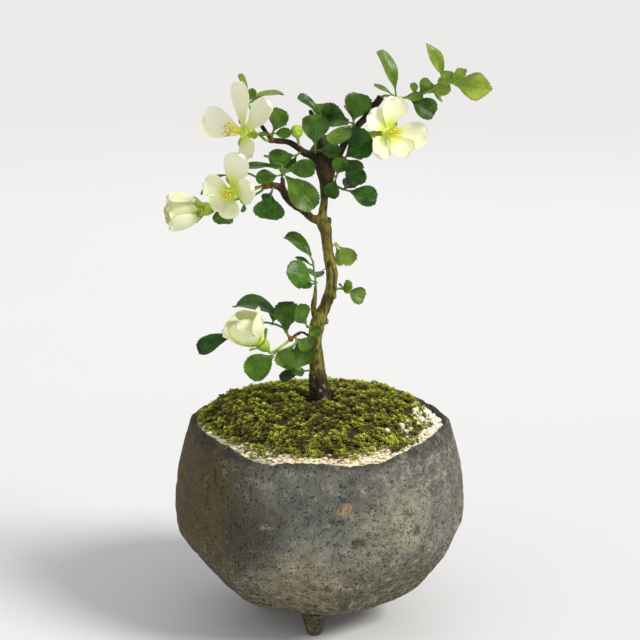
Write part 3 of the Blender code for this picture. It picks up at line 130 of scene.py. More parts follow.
KNOTS = [(0.6, 1, 163.4, 3.0), (5, 1.6, 162.4, 2.2), (1.9, -0.8, 107.4, 1.5), (4.6, -0.2, 116, 1.4),
         (2.6, 0.2, 142.4, 1.7), (-18.3, -9, 156.4, 1.5), (-10, -5, 102, 1.25), (-2.4, -2, 84, 1.8),
         (2.2, -1.4, 82.6, 1.8), (0.6, 2.4, 82.4, 1.8), (-16.4, -2, 170.5, 1.2)]

# Where green stems and pedicels spring from the wood, each as (a point inside the limb, direction).
# They start where that direction leaves the bark, GAP beyond it.
SPRINGS = {
    "bloom_upper_left": ((-16.5, -2, 170.5), (-0.75, -0.6, 0.05)),
    "bloom_mid_left": ((-18.3, -9, 156.4), (-0.8, -0.55, -0.1)),
    "bloom_far_left": ((-18.3, -9, 156.4), (-0.72, 0.6, -0.35)),
    "bloom_right": ((12, 4.2, 173.2), (0.62, -0.75, -0.1)),
    "bloom_low_left": ((-10, -5, 102), (-0.75, -0.4, -0.5)),
    "flower_bud": ((-7, -0.3, 167.5), (-0.1, -0.5, 0.85)),
    "leaves_left_top": ((-23.4, 1.6, 180.8), (-0.4, 0.2, 0.89)),
    "leaves_left_upright": ((-16.2, -2, 170.5), (0.15, -0.3, 0.94)),
    "leaves_left_glossy": ((-6.2, -0.2, 166.4), (-0.5, -0.8, -0.3)),
    "leaves_mid_left": ((-12.5, -6.9, 158.0), (-0.15, -0.1, 0.98)),
    "leaves_mid_left_low": ((-15.6, -8.4, 156.1), (-0.15, -0.85, -0.5)),
    "leaves_behind_bloom": ((-18.3, -9, 156.4), (-0.55, 0.35, 0.75)),
    "leaves_under_bloom": ((-18.3, -9, 156.4), (-0.55, -0.2, -0.8)),
    "leaves_crown_tip": ((0.3, 2.5, 174.8), (0.1, -0.2, 0.97)),
    "leaves_crown_left": ((-1.5, 0.6, 164.8), (-0.05, -0.5, 0.85)),
    "leaves_crown_top": ((12, 4.3, 173.2), (-0.25, -0.6, 0.75)),
    "leaves_crown_front": ((2.4, 0.8, 157.8), (0.8, -0.6, 0.05)),
    "leaves_crown_right": ((5.4, 2.2, 163.4), (0.8, -0.55, 0.15)),
    "leaves_crown_back": ((2, 1.8, 163), (0.1, 0.93, 0.3)),
    "leaves_right_twig": ((6.3, -1.8, 154.3), (0.85, -0.45, -0.25)),
    "leaves_right_shoot": ((20.2, 3, 183.9), (0.75, -0.3, 0.4)),
    "leaves_trunk_left": ((-1.5, -4, 121), (0, -0.15, 0.98)),
    "leaves_trunk_back": ((3.5, 1, 133.0), (0.72, 0.62, 0.25)),
    "leaves_trunk_right": ((4, 1, 118.2), (0.85, -0.2, 0.1)),
    "leaves_low_left": ((-10, -5, 102), (-0.55, 0.3, 0.75)),
    "leaves_low_front": ((-8.5, -4.6, 103), (0.2, -0.8, -0.5)),
    "leaves_low_trunk": ((-1.2, 0, 105), (-0.75, -0.6, 0.2)),
    "leaves_foot": ((-1, -0.4, 89.6), (-0.8, -0.55, 0.1)),
}
SPRING_RAY = 12.0

# Sprays: the stem's further points beyond its first stretch, then the leaves as
# (place along the stem 0 to 1, heading, lean, length, width, turn about the midrib, bend).
SPRAYS = {
    "leaves_left_top": ([], [
        (1, 98, 8, 9.8, 3.2, 52, 20), (1, 62, 28, 5.5, 3.0, 10, 10), (0.6, 16, 5, 5.5, 1.3, 20, 20),
        (0.6, 39, -12, 13, 5.0, -42, 58)]),
    "leaves_left_upright": ([], [
        (1, 70, 8, 8.4, 6.2, 8, 15), (0.4, 176, 29, 4.8, 2.6, 30, 10), (0.6, 12, 43, 7.5, 3.2, 20, 25),
        (0.8, 60, -50, 8.5, 5.2, 10, 25)]),
    "leaves_left_glossy": ([], [
        (1, 190, 15, 9.6, 6.8, 0, 20), (1, 235, 29, 6.0, 4.0, 20, 20)]),
    "leaves_mid_left": ([(0.2, -0.3, 2.6)], [
        (1, 143, 10, 6.6, 1.6, 55, 15), (0.2, 183, 25, 8.5, 5.2, 15, 20), (0.7, 160, 2, 12, 4.2, 40, 40),
        (0.7, 5, 12, 10.6, 5.2, 20, 20), (0.5, -42, 32, 15.8, 7.6, 12, 24), (0.2, 32, -67, 9, 5.5, 0, 25)]),
    "leaves_mid_left_low": ([], [
        (1, -98, 22, 9.2, 9.2, 4, 22), (0.6, -130, -18, 6.5, 4.2, 30, 25)]),
    "leaves_behind_bloom": ([(-4.5, 0.6, 1.6), (-9.6, 0, 1.2)], [
        (1, 176, 0, 13.4, 5.6, 60, 75), (0.7, 110, -45, 8, 5, 0, 25)]),
    "leaves_under_bloom": ([(-4.4, 0, -1.6), (-9.2, -0.2, -2.4), (-13.2, -0.4, -3.0)], [
        (1, -86, 0, 8.0, 6.2, 12, 20), (0.3, -110, -50, 7, 4.4, 10, 25)]),
    "leaves_crown_tip": ([(0, 0, 1.2)], [
        (1, 124, 10, 10.6, 3.8, 30, 35), (0.8, 62, 22, 4.8, 2.8, 20, 15), (0.3, 91, -45, 9, 5.6, 0, 20),
        (0.2, 165, 12, 6.5, 4, 30, 25)]),
    "leaves_crown_left": ([], [
        (1, 89, 6, 11.6, 8.0, 5, 12), (0.5, 2, 22, 8.8, 4.4, 20, 20)]),
    "leaves_crown_top": ([], [
        (0.6, 168, -15, 11.4, 8.6, 12, 20), (1, 76, 4, 9.0, 7.0, 8, 18), (0.2, 205, 52, 11.6, 6.2, 25, 22),
        (0.8, 79, -50, 9, 6, 0, 25)]),
    "leaves_crown_front": ([], [
        (1, 74, 22, 6.4, 4.4, 10, 20), (1, -110, 20, 6.8, 4.4, 20, 25)]),
    "leaves_crown_right": ([], [
        (1, 46, 18, 11.0, 8.8, 8, 16), (1, -32, 28, 6.8, 3.4, 25, 25), (0.7, -58, -3, 10.6, 5.6, 15, 25),
        (0.5, 20, -40, 8, 5, 10, 20)]),
    "leaves_crown_back": ([], [
        (1, 95, -50, 10.5, 6.4, 5, 20), (1, 173, -42, 10, 6, 10, 25), (0.7, 4, -69, 9.5, 5.8, 10, 25)]),
    "leaves_right_twig": ([], [
        (1, -14, 10, 11.4, 6.2, 12, 18), (0.6, 25, -64, 7.5, 4.6, 10, 20)]),
    "leaves_right_shoot": ([(3.2, -0.8, -0.8), (8, -2, -0.6), (13.5, -3.2, 1.4), (17.4, -4, 3.8),
                            (21.5, -4.8, 4.8)], [
        (0.95, -5, 18, 15.0, 8.2, 28, 12), (0.02, 95, 6, 17.0, 5.4, 42, 46),
        (0.0, 138, 12, 8.5, 1.6, 20, 30), (0.12, 8, 20, 7.5, 2.8, 30, 10),
        (0.34, 96, 6, 4.6, 2.6, 30, 20), (0.38, 44, -20, 6.8, 5, 20, 20), (0.22, -28, 12, 10.8, 6.6, 8, 20),
        (0.5, 16, 14, 8.6, 4.2, 30, 15), (0.92, 112, 4, 14.8, 4.6, 18, 18),
        (0.9, 80, 25, 4.6, 4.2, 20, 25), (1, 128, -41, 5, 1.8, 20, 15), (1, 50, 34, 7.5, 3.8, 10, 30),
        (0.6, -28, -38, 7.0, 4.6, 10, 25)]),
    "leaves_trunk_left": ([(-1.0, -0.4, 7.0)], [
        (0.2, 150, 28, 11.8, 9.2, 8, 15), (1, 113, 0, 13.4, 6.2, 40, 64), (0.85, 150, -15, 7.0, 2.2, 40, 15),
        (-0.1, 184, 30, 5.4, 3.2, 20, 15), (0.4, 84, -71, 8, 5, 10, 25)]),
    "leaves_trunk_back": ([], [
        (1, -46, 20, 8.8, 5.2, 20, 20), (0.5, -72, -12, 9.0, 3.4, 10, 20)]),
    "leaves_trunk_right": ([(1.2, -0.6, -0.2)], [
        (0.3, 22, 35, 4.8, 4.2, 10, 20), (1, -24, 8, 7.2, 5.4, 10, 20), (0.6, -30, -75, 7.5, 4.6, 10, 25)]),
    "leaves_low_left": ([(-1.0, 0.4, 1.4), (-4.5, 2.2, 2.4), (-9.5, 5.0, 2.0), (-14.5, 6.4, -0.8),
                         (-17.2, 6.6, -2.8)], [
        (1, 197, 4, 15.4, 6.8, 18, 16), (-0.06, 111, 2, 22.0, 8.2, 50, 104),
        (-0.22, 92, 0, 11.4, 7.8, 8, 18), (0.3, 60, -60, 9, 5.6, 5, 25)]),
    "leaves_low_front": ([(-1.0, -1.0, -1.0), (-7.4, -2.6, -3.2)], [
        (-0.1, -73, 14, 9.2, 7.8, 8, 15), (-0.3, -22, 35, 6.4, 4.8, 5, 15), (0.5, 240, 22, 8.4, 6.6, 8, 20),
        (1, 212, 32, 12.4, 8.2, 8, 20)]),
    "leaves_low_trunk": ([], [
        (1, 108, 28, 8.6, 5.8, 12, 25), (0.6, -20, 45, 5.6, 3.4, 10, 20)]),
    "leaves_foot": ([], [
        (1, 187, 15, 9.6, 4.6, 25, 20), (0.7, 165, 43, 6.5, 4.4, 15, 20)]),
}
STEM_LENGTH = 1.6
STEM_TAPER = 0.25
LEAVES_FROM = 0.25
LEAVES_TO = 0.97
STEM_RADIUS = 0.5
STALK_SHARE = 0.14
LEAF_WIDEST = 0.62
LEAF_BASE_WIDTH = 0.12
LEAF_TIP_POWER = 2.4
TEETH_FROM = 0.2
TEETH_SPAN = 0.78
# A blade wider than this has its full number of teeth.
TOOTHED_WIDTH = 2.5
LEAF_FACING = (0, -0.8, 0.6)

# Blooms: receptacle, axis, pedicel's further points, stamens (count, length, splay), how yellow-green
# the petals are, and the petals as (azimuth about the axis, opening from the axis, length, width).
BLOOMS = {
    "upper_left": {
        "at": (-25.5, -6, 174), "axis": (-0.72, -0.64, 0.22), "pedicel": [],
        "stamens": (8, 7.0, 20), "tone": -0.1, "red anthers": 0.85,
        "petals": [(42, 98, 14.4, 9.6), (97, 84, 15.6, 8.8), (174, 74, 15.0, 10.4), (-58, 98, 9.0, 9.0)]},
    "mid_left": {
        "at": (-29, -15, 155), "axis": (-0.42, -0.9, 0.04), "pedicel": [],
        "stamens": (8, 4.6, 24), "tone": 0.1,
        "petals": [(74, 82, 14.0, 9.6), (14, 72, 10.6, 8.8), (152, 64, 9.2, 8.2), (212, 66, 7.4, 7.2),
                   (-84, 68, 8.0, 7.6)]},
    "far_left": {
        "at": (-40, -8, 148), "axis": (-0.94, -0.22, -0.04),
        "pedicel": [(-24.5, -5.2, 153.4), (-30, -6, 151)],
        "stamens": (3, 4.0, 9), "tone": 0.25,
        "petals": [(80, 31, 11.8, 9.6), (205, 31, 12.0, 9.6), (320, 32, 12.2, 9.6), (18, 18, 11.6, 9.4),
                   (145, 18, 11.6, 9.4)]},
    "right": {
        "at": (22.5, -3, 173), "axis": (0.5, -0.83, 0.2), "pedicel": [],
        "stamens": (8, 5.2, 24), "tone": 0.08,
        "petals": [(80, 76, 11.8, 9.8), (136, 84, 9.6, 8.2), (-10, 78, 13.0, 9.0), (-66, 62, 10.0, 9.0),
                   (-138, 76, 10.0, 8.4)]},
    "low_left": {
        "at": (-20.8, -10.4, 102.9), "axis": (-0.62, -0.28, 0.73), "pedicel": [(-14.2, -7.6, 99.4)],
        "stamens": (3, 4.2, 9), "tone": 0.3,
        "petals": [(48, 42, 12.6, 10.4), (330, 22, 12.2, 10.0), (262, 36, 12.8, 10.4), (200, 40, 12.4, 10.2),
                   (120, 26, 12.0, 9.8)]},
}
RECEPTACLE_RADIUS = 2.1
RECEPTACLE_HALF = 0.5
PETAL_ROOT = 1.55
PETAL_CLAW = 0.16
PETAL_RISE = 0.16
PETAL_CUP = 0.14
CALYX_PROFILE = [(2.1, -0.8), (2.35, -2.0), (1.7, -3.9), (0.6, -5.4)]
PEDICEL_RADIUS = 0.5
PEDICEL_FIRST_STRETCH = 0.9
PEDICEL_END_HEIGHTS = (-6.4, -4.4)
SEPAL_LENGTH = 4.2
SEPAL_WIDTH = 2.3
SEPAL_ROOT = (1.7, -1.5)
SEPAL_MORE_OPEN = 22
SEPAL_WIDEST_OPENING = 100
STAMEN_TURN = 2.4
BUD_PLACE = (-7.7, -4.6, 173.8)
BUD_RADIUS = 2.1
BUD_LENGTHENED = 1.12
CUT_ENDS = [(-3.5, 5.0, 179.9), (20.7, 3.0, 184.6), (-1.5, -4.0, 120.8)]
# Bud scales as (x, y, z, radius).
BUD_SCALES = [(-18.3, -9.0, 156.4, 1.6), (-10.0, -5.0, 102.0, 1.3), (-16.4, -2.0, 170.5, 1.2),
              (6.3, -1.9, 154.4, 0.8)]
BUD_STALK_RADII = (0.5, 0.46, 0.46, 0.72, 0.8)
BUD_SEPALS = 5
BUD_SEPAL_SIZE = (2.3, 1.7)
BUD_SEPAL_TILT = -58
# The receptacle's disc and the stamens' boss in a bloom's own frame, as (radius, height).
DISC_PROFILE = [(0.01, 0.62), (RECEPTACLE_RADIUS * 0.7, 0.56), (RECEPTACLE_RADIUS, 0.2),
                (RECEPTACLE_RADIUS, -0.3), (RECEPTACLE_RADIUS * 0.8, -RECEPTACLE_HALF)]
BOSS_PROFILE = [(0.02, 1.75), (0.6, 1.62), (1.1, 1.0), (1.1, RECEPTACLE_HALF + GAP)]
ANTHER_SHAPE = (0.27, 0.22, 0.46)
FILAMENT_LENGTHS = (0.72, 1.0)
FILAMENT_RADII = (0.15, 0.14, 0.13, 0.12, 0.11, 0.10, 0.10)
CALYX_TONE = 0.1
PETAL_WIDEST = 0.68
PETAL_HALF_THICKNESS = 0.15
BLADE_HALF_THICKNESS = 0.11
BLADE_FOLD = 0.30
BLADE_BASE_POWER = 1.6
STALK_POINTS = 9
STALK_RADII = (0.36, 0.10)
# Share of a leaf's length that its midrib reaches, and how far a leaf's tone may be off its spray's.
MIDRIB_REACH = 0.62
TONE_SPREAD = (-0.10, 0.12)
# How far stems and pedicels run on into the bark, how much slimmer the middle of the trunk is, and how
# often the joints of the limbs are smoothed.
IN_THE_BARK = 1.1
TRUNK_SLIMMER = 0.16
SMOOTHINGS = 4
# How yellow-green a spray's leaves are, and single leaves that differ.
YOUNG = {"leaves_left_top": 0.45, "leaves_right_shoot": 0.46, "leaves_left_upright": 0.2,
         "leaves_mid_left": 0.22, "leaves_low_trunk": 0.22, "leaves_low_front": 0.24,
         "leaves_trunk_back": 0.55, "leaves_trunk_right": 0.35}
YOUNG_LEAVES = {("leaves_right_shoot", 6): 0.12, ("leaves_right_shoot", 1): 0.30,
                ("leaves_right_shoot", 8): 0.55, ("leaves_right_shoot", 11): 0.75,
                ("leaves_right_shoot", 0): 0.62, ("leaves_crown_top", 2): 0.20, ("leaves_low_left", 0): 0.1}
# How much longer and broader the blades are in the fullest sprays.
LEAF_FULLER = {"leaves_crown_top": (1.12, 1.26), "leaves_crown_right": (1.10, 1.22),
               "leaves_crown_front": (1.12, 1.24), "leaves_mid_left": (1.06, 1.14),
               "leaves_low_trunk": (1.06, 1.14), "leaves_low_front": (1.06, 1.14)}
POINTED_LEAVES = [("leaves_right_shoot", 0), ("leaves_right_shoot", 8), ("leaves_right_shoot", 11)]
# Small frilly leaflets at a stem's tip as (share of the stem, heading, lean, length, width).
FRILLS = {"leaves_right_shoot": [
    (0.93, 95, 10, 3.4, 2.6), (0.96, 60, -20, 3.0, 2.4), (0.90, 130, 25, 2.6, 2.2),
    (0.98, 20, 30, 2.6, 2.0), (0.86, 75, 40, 2.4, 2.0), (1.0, 110, -35, 2.4, 1.8)]}

# The wall is thinner toward the rim, from one height to the other, and its flats meet in crisper edges.
RIM_THINNER = 0.6
RIM_THINNED = (60.0, 69.0)
FLATS_CRISPER = 0.4
FOOT_RAY = 40.0
# Relief of the clay as (height, wavelength, seed, stretch of the place), and its dents and chips as
# (depth, wavelength, seed, stretch of the place, least noise that shows).
CLAY_RELIEF = [(0.34, 17.0, 1, (1.0, 1.0, 1.0)), (0.24, 7.5, 2, (1.0, 1.0, 2.4)),
               (0.10, 2.8, 3, (1.0, 1.0, 1.0))]
CLAY_HOLLOWS = [(1.1, 4.6, 4, (1.0, 1.0, 1.0), 0.38), (0.55, 1.5, 5, (1.0, 1.0, 2.4), 0.34)]
# The band of heights where the rim is knobbly, and its knobs as (height, wavelength, seed).
NEAR_RIM = (62.0, 70.0)
RIM_KNOBS = [(0.60, 5.0, 6), (0.45, 1.9, 7)]
# How much wider a foot is where it meets the bowl, and how far below that this fades.
FOOT_FLARE = 0.42
FOOT_FLARE_FADE = 1.1
# Rings of the soil's top as radii, and of its side as heights.
SOIL_TOP_RINGS = (8, 11, 14, 17, 20, 23, 26, 29)
SOIL_SIDE_RINGS = (56.0, 50.0, 43.0, 35.0, 27.0, 22.0, 18.5)
CRUMB_SIZES = (0.22, 0.62)
# Section of a bar of the net as shares of its width and thickness.
NET_SECTION = [(-0.5, 0.2), (-0.5, 0.8), (-0.35, 1.0), (0.35, 1.0),
               (0.5, 0.8), (0.5, 0.2), (0.35, 0.0), (-0.35, 0.0)]
# How far tufts of moss hang over the grit, by azimuth.
MOSS_OVERHANG = {200: 0.0, 222: 0.8, 236: 2.6, 248: 0.6, 262: 0.4, 276: 2.2, 288: 0.4, 300: 0.8,
                 312: 2.8, 324: 2.6, 326: 1.6, 338: 1.0, 345: 1.6, 10: 1.4, 40: 0.6, 120: 0.0}
# Noise over the moss as (wavelength, offset): its clumps, its fine tufts, its ragged edge, its dead patches.
MOSS_NOISE = [(4.2, (5, 1, 2)), (1.6, (1, 9, 4)), (3.0, (8, 2, 7)), (7.5, (3, 3, 8))]
BROWN_SHARE = 0.85
BED_UNDER_MOSS = 1.4
# How far from the pot's axis tufts are tried, and the band along the moss's edge that has more of them.
MOSS_REACH = 44.0
EDGE_BAND = (-4.5, 0.6)
# A shoot's leaves, how far each is turned from the last, in radians, and the sizes of shoots.
SHOOT_LEAVES = (8, 9, 10)
SHOOT_TURN = 2.4
SHOOT_SIZES = (1.0, 1.7)
TUFT_PITCH = 1.52
EDGE_TUFTS = 1100
GRANULES_IN_MOSS = 70
# How close grains may lie, as a share of their sizes, and the distance beyond which none is close.
GRAINS_CLOSEST = 0.56
GRAIN_REACH = 2.6
# The granules in the moss: azimuth and spread, how far in from the moss's edge and out, and sizes.
GRANULES_AT = (-16.0, 12.0)
GRANULE_BAND = (-3.6, 0.8)
GRANULE_SIZES = (0.55, 1.1)
# Where the grit is grey and where it is white, as (azimuth, spread).
GREY_STONES = (211, 23)
WHITE_STONES = (12, 44)

# Colours as red, green and blue.
CLAY = {"grey": (0.202, 0.203, 0.174), "dark": (0.122, 0.125, 0.108), "brown": (0.098, 0.073, 0.028),
        "pale": (0.38, 0.355, 0.27), "shade": (0.050, 0.046, 0.036), "crumbs": (0.44, 0.41, 0.30),
        "pit_shade": (0.018, 0.017, 0.016), "speck": (0.42, 0.40, 0.34), "rim": (0.035, 0.032, 0.028)}
NET = ((0.022, 0.022, 0.024), (0.034, 0.034, 0.036))
SOIL = ((0.016, 0.011, 0.008), (0.060, 0.041, 0.025))
STONE = {"cream": (0.97, 0.89, 0.65), "grey": (0.47, 0.44, 0.33), "white": (0.96, 0.94, 0.87),
         "rosy": (0.86, 0.66, 0.52), "brown": (0.34, 0.25, 0.15), "bed": (0.97, 0.88, 0.63),
         "granule": (0.90, 0.86, 0.74), "shade": (0.50, 0.38, 0.22)}
# In the moss, "base" is the near black low in the shoots and on the carpet: painted shade.
MOSS = {"deep": (0.150, 0.175, 0.012), "bright": (0.80, 0.88, 0.070), "base": (0.018, 0.014, 0.006),
        "tip": (0.86, 0.88, 0.28), "dead": (0.125, 0.074, 0.028), "shade": (0.060, 0.062, 0.012)}
# On the bark, "dark" and "lit dark" go where the limbs carry painted shade and toward the foot, and "deep" is
# painted shade in the grooves of the relief.
BARK = {"olive": (0.125, 0.105, 0.020), "lit olive": (0.270, 0.252, 0.046), "tan": (0.27, 0.235, 0.09),
        "dark": (0.022, 0.014, 0.007), "lit dark": (0.085, 0.056, 0.024), "streak": (0.022, 0.015, 0.007),
        "deep": (0.022, 0.015, 0.010), "pore": (0.27, 0.23, 0.16), "flake": (0.30, 0.26, 0.19),
        "scale": (0.30, 0.115, 0.034), "cut": (0.13, 0.095, 0.06)}
LEAF = {"deep": (0.006, 0.040, 0.003), "lit deep": (0.028, 0.140, 0.006), "young": (0.340, 0.520, 0.050),
        "lit young": (0.560, 0.700, 0.090), "vein": (0.10, 0.27, 0.045), "red edge": (0.30, 0.13, 0.045),
        "under": (0.115, 0.205, 0.075)}
PETAL = {"cream": (0.955, 0.955, 0.67), "white": (0.985, 0.98, 0.82), "pale heart": (0.86, 0.90, 0.36),
         "green heart": (0.62, 0.80, 0.035), "young": (0.86, 0.92, 0.36), "vein": (0.64, 0.70, 0.40)}
STAMEN = {"filament": (0.80, 0.84, 0.12), "anther": (0.95, 0.82, 0.045), "red anther": (0.50, 0.30, 0.17),
          "shade": (0.62, 0.48, 0.06)}
CALYX = {"green": (0.32, 0.50, 0.036), "lit green": (0.54, 0.70, 0.080), "dark": (0.150, 0.210, 0.028),
         "red": (0.20, 0.085, 0.028)}
# Clouds and spots on the clay as (place, radius, raggedness, share, colour). The two dark clouds at the left
# are painted shade on the pot's left facets.
CLAY_CLOUDS = [((26.0, -42.0, 46.0), 21.0, 18.0, 0.70, (0.36, 0.34, 0.235)),
               ((14.0, -47.0, 62.0), 11.0, 7.0, 0.60, (0.105, 0.103, 0.078)),
               ((-23.0, -43.0, 44.0), 17.0, 9.0, 0.95, (0.045, 0.045, 0.037)),
               ((-25.0, -41.0, 63.0), 10.0, 8.0, 0.50, (0.070, 0.068, 0.054)),
               ((-11.0, -48.0, 67.0), 7.0, 6.0, 0.40, (0.22, 0.25, 0.17)),
               ((-8.0, -42.0, 28.0), 21.0, 12.0, 0.70, (0.33, 0.285, 0.165))]
CLAY_SPOTS = [((8.2, -48.0, 55.8), 3.4, 4.0, 0.90, (0.43, 0.28, 0.14)),
              ((12.2, -46.5, 43.5), 3.0, 4.0, 0.85, (0.045, 0.030, 0.020)),
              ((31.7, -38.0, 45.1), 3.4, 5.0, 0.85, (0.045, 0.030, 0.020)),
              ((22.5, -44.5, 42.6), 1.6, 2.5, 0.80, (0.36, 0.20, 0.10)),
              ((4.5, -48.0, 52.5), 2.0, 3.0, 0.60, (0.060, 0.045, 0.032))]
# Pits of the clay as (wandering in millimetres, cells per metre, share left out, size).
PIT_LAYERS = [(2.6, (430.0, 430.0, 1000.0), 0.92, 0.34), (2.2, (520.0, 520.0, 440.0), 0.93, 0.30),
              (1.8, (950.0, 950.0, 640.0), 0.84, 0.34), (1.0, (1900.0, 1900.0, 1400.0), 0.72, 0.40)]

# Lights as (name, kind, place in metres, spread in degrees or metres, strength, colour).
LIGHTS = [("key", "SUN", (0.64, -0.30, 0.72), 22.0, 2.55, (1.0, 0.965, 0.91)),
          ("fill", "AREA", (-0.65, -0.55, 0.45), 0.70, 0.4, (0.92, 0.96, 1.0)),
          ("back", "AREA", (0.10, 0.70, 0.60), 0.60, 0.5, (1.0, 1.0, 1.0))]
LIT_PLACE = (0.0, 0.0, 0.09)
WORLD_COLOUR = (1.0, 0.992, 0.965, 1.0)
WORLD_STRENGTH = 0.53
FLOOR_TONES = [(0.81, 0.82, 0.85), (0.83, 0.84, 0.87)]

# Fineness: how many points go round or along a piece, and how many small things lie on it.
POT_COLUMNS = 280
POT_OUTER_STEPS = 9
POT_INNER_STEPS = 4
FOOT_COLUMNS = 56
FOOT_STEPS = 8
NET_STEPS = 40
SOIL_COLUMNS = 120
SOIL_CRUMBS = 420
GRIT_COLUMNS = 140
STONE_TRIES = 9000
STONE_COUNT = 1500
CARPET_COLUMNS = 168
CARPET_ROWS = 34
SHOOT_KINDS = 12
WOOD_CELL = 0.27
LIMB_STEPS = 6
THICK_LIMB = 1.2
THICK_LIMB_SIDES = 22
THIN_LIMB_SIDES = 14
LEAF_COLUMNS = 12
STEM_SIDES = 10
STALK_SIDES = 7
FILAMENT_SIDES = 6
PEDICEL_SIDES = 12
PETAL_ROWS = 22
PETAL_COLUMNS = 16
RECEPTACLE_COLUMNS = 26
STAMEN_COLUMNS = 20
CALYX_COLUMNS = 28

# Camera: its place, how many degrees it looks down, and its lens and film in millimetres.
CAMERA_PLACE = (0.0, -592.4, 268.4)
CAMERA_PITCH = 15.2
CAMERA_LENS = 100.0
CAMERA_FILM = 36.0
CAMERA_NEAREST = 0.01
# Half the floor's width in metres.
FLOOR_REACH = 6.0
# A full turn in radians, as the random draws take it.
FULL_TURN = 6.28


# Helpers.

def unit(vector):
    """The vector's direction, of length one."""
    return Vector(vector).normalized()


def clamp(value):
    """The value, held between 0 and 1."""
    return min(1.0, max(0.0, value))


def smoothstep(low, high, value):
    """Runs smoothly from 0 to 1 while the value runs from low to high."""
    share = np.clip((value - low) / (high - low), 0.0, 1.0)
    return share * share * (3 - 2 * share)


def polar(radius, azimuth):
    """x and y at a distance from the pot's axis and an azimuth in degrees."""
    angle = math.radians(azimuth)
    return radius * math.cos(angle), radius * math.sin(angle)


def around(count):
    """Azimuths in degrees, evenly round the pot."""
    return 360 * np.arange(count) / count


def round_table(table, azimuth):
    """Reads a table of azimuth and value that closes on itself, with smooth steps between."""
    stops = sorted(table)
    values = np.array([table[stop] for stop in stops] + [table[stops[0]]])
    stops = np.array(stops + [stops[0] + 360.0])
    azimuth = (np.asarray(azimuth, float) - stops[0]) % 360 + stops[0]
    low = np.clip(np.searchsorted(stops, azimuth, side="right") - 1, 0, len(stops) - 2)
    share = (azimuth - stops[low]) / (stops[low + 1] - stops[low])
    share = share * share * (3 - 2 * share)
    return values[low] * (1 - share) + values[low + 1] * share


def smooth_run(points, steps):
    """A smooth run through points of any number of values, with so many steps to each stretch."""
    rows = np.array([tuple(point) for point in points], float)
    rows = np.vstack([2 * rows[0] - rows[1], rows, 2 * rows[-1] - rows[-2]])
    t = np.arange(steps)[:, None] / steps
    run = []
    for a, b, c, d in zip(rows, rows[1:], rows[2:], rows[3:]):
        run.append(0.5 * (2 * b + (c - a) * t + (2 * a - 5 * b + 4 * c - d) * t ** 2
                          + (3 * b - a - 3 * c + d) * t ** 3))
    return np.vstack(run + [rows[-2:-1]])


def lumps(points, wavelength, seed=0):
    """Smooth noise of about -1 to 1 at each point, its lumps about one wavelength wide."""
    offset = Vector((17.3 * seed, -5.1 * seed, 9.7 * seed))
    return np.array([noise.noise(Vector(point) / wavelength + offset) for point in points])


def grid_faces(rows, columns, round_about=False):
    """Quads of a grid of points that run row by row, the last column joined to the first or not."""
    faces = []
    for i in range(0, (rows - 1) * columns, columns):
        for k in range(columns if round_about else columns - 1):
            near = (k + 1) % columns
            faces.append((i + k, i + near, i + columns + near, i + columns + k))
    return faces


def ring_faces(rows, columns):
    """Quads of rings of points, each joined to the next and the last to the first."""
    last = (rows - 1) * columns
    return grid_faces(rows, columns, True) + [
        (last + k, last + (k + 1) % columns, (k + 1) % columns, k) for k in range(columns)]


def last_ring(rows, columns):
    """The face that closes the last of some rings."""
    return tuple((rows - 1) * columns + k for k in range(columns))


def flipped(faces):
    """The faces turned to look the other way."""
    return [face[::-1] for face in faces]


def thin_sheet(surface, thin, stops, columns):
    """A thin sheet of two faces and the band round its edge, and each point's place along and across."""
    rows, size = len(stops), len(columns)
    flat = grid_faces(rows, size)
    under = rows * size
    last = under - size
    border = [i * size for i in range(rows)] + [last + k for k in range(1, size)]
    border += [i * size + size - 1 for i in reversed(range(rows - 1))] + list(reversed(range(1, size - 1)))
    faces = flat + [tuple(i + under for i in face[::-1]) for face in flat]
    faces += [(b, a, a + under, b + under) for a, b in zip(border, border[1:] + border[:1])]
    along = np.tile(np.repeat(stops, size), 2)
    across = np.tile(columns * 0.5 + 0.5, 2 * rows)
    return np.vstack([surface(thin), surface(-thin)]), faces, along, across


def point_normals(points, faces):
    """Area-weighted normals of the points of a mesh of quads."""
    quads = np.array(faces)
    across = np.cross(points[quads[:, 2]] - points[quads[:, 0]], points[quads[:, 3]] - points[quads[:, 1]])
    normals = np.zeros_like(points)
    for corner in range(4):
        np.add.at(normals, quads[:, corner], across)
    return normals / np.maximum(np.linalg.norm(normals, axis=1, keepdims=True), 1e-9)


def moved(points, matrix):
    """The points after a turn and a shift."""
    matrix = np.array(matrix)
    return points @ matrix[:3, :3].T + matrix[:3, 3]


def in_scene(name, data):
    """A new object with the data, linked to the scene."""
    item = bpy.data.objects.new(name, data)
    bpy.context.scene.collection.objects.link(item)
    return item


class Heap:
    """Points, faces and marks (four numbers a point, for the material) of what makes up one piece."""

    def __init__(self):
        self.points, self.faces, self.marks = [], [], []
        self.count = 0

    def add(self, points, faces, marks=(0.0, 0.0, 0.0, 1.0)):
        """Adds a body. The marks are four in a row for all points, or each a number or a row of them."""
        points = np.asarray(points, float).reshape(-1, 3)
        if isinstance(marks, list):
            marks = np.stack([np.broadcast_to(mark, len(points)) for mark in marks], -1)
        self.points.append(points)
        self.marks.append(np.broadcast_to(np.asarray(marks, float), (len(points), 4)))
        start = self.count
        self.faces += [tuple([i + start for i in face]) for face in faces]
        self.count += len(points)

    def piece(self, name, material, slot, *nodes):
        """The finished piece, in place on the shared frame and standing in for its solids."""
        mesh = bpy.data.meshes.new(name)
        mesh.from_pydata(((np.vstack(self.points) + SHIFT) * MM).tolist(), [], self.faces)
        marks = mesh.attributes.new("mark", "FLOAT_COLOR", "POINT")
        marks.data.foreach_set("color", np.vstack(self.marks).ravel())
        mesh.shade_smooth()
        mesh.materials.append(material)
        piece = in_scene(name, mesh)
        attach(piece, "root")
        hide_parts(*nodes)
        return piece


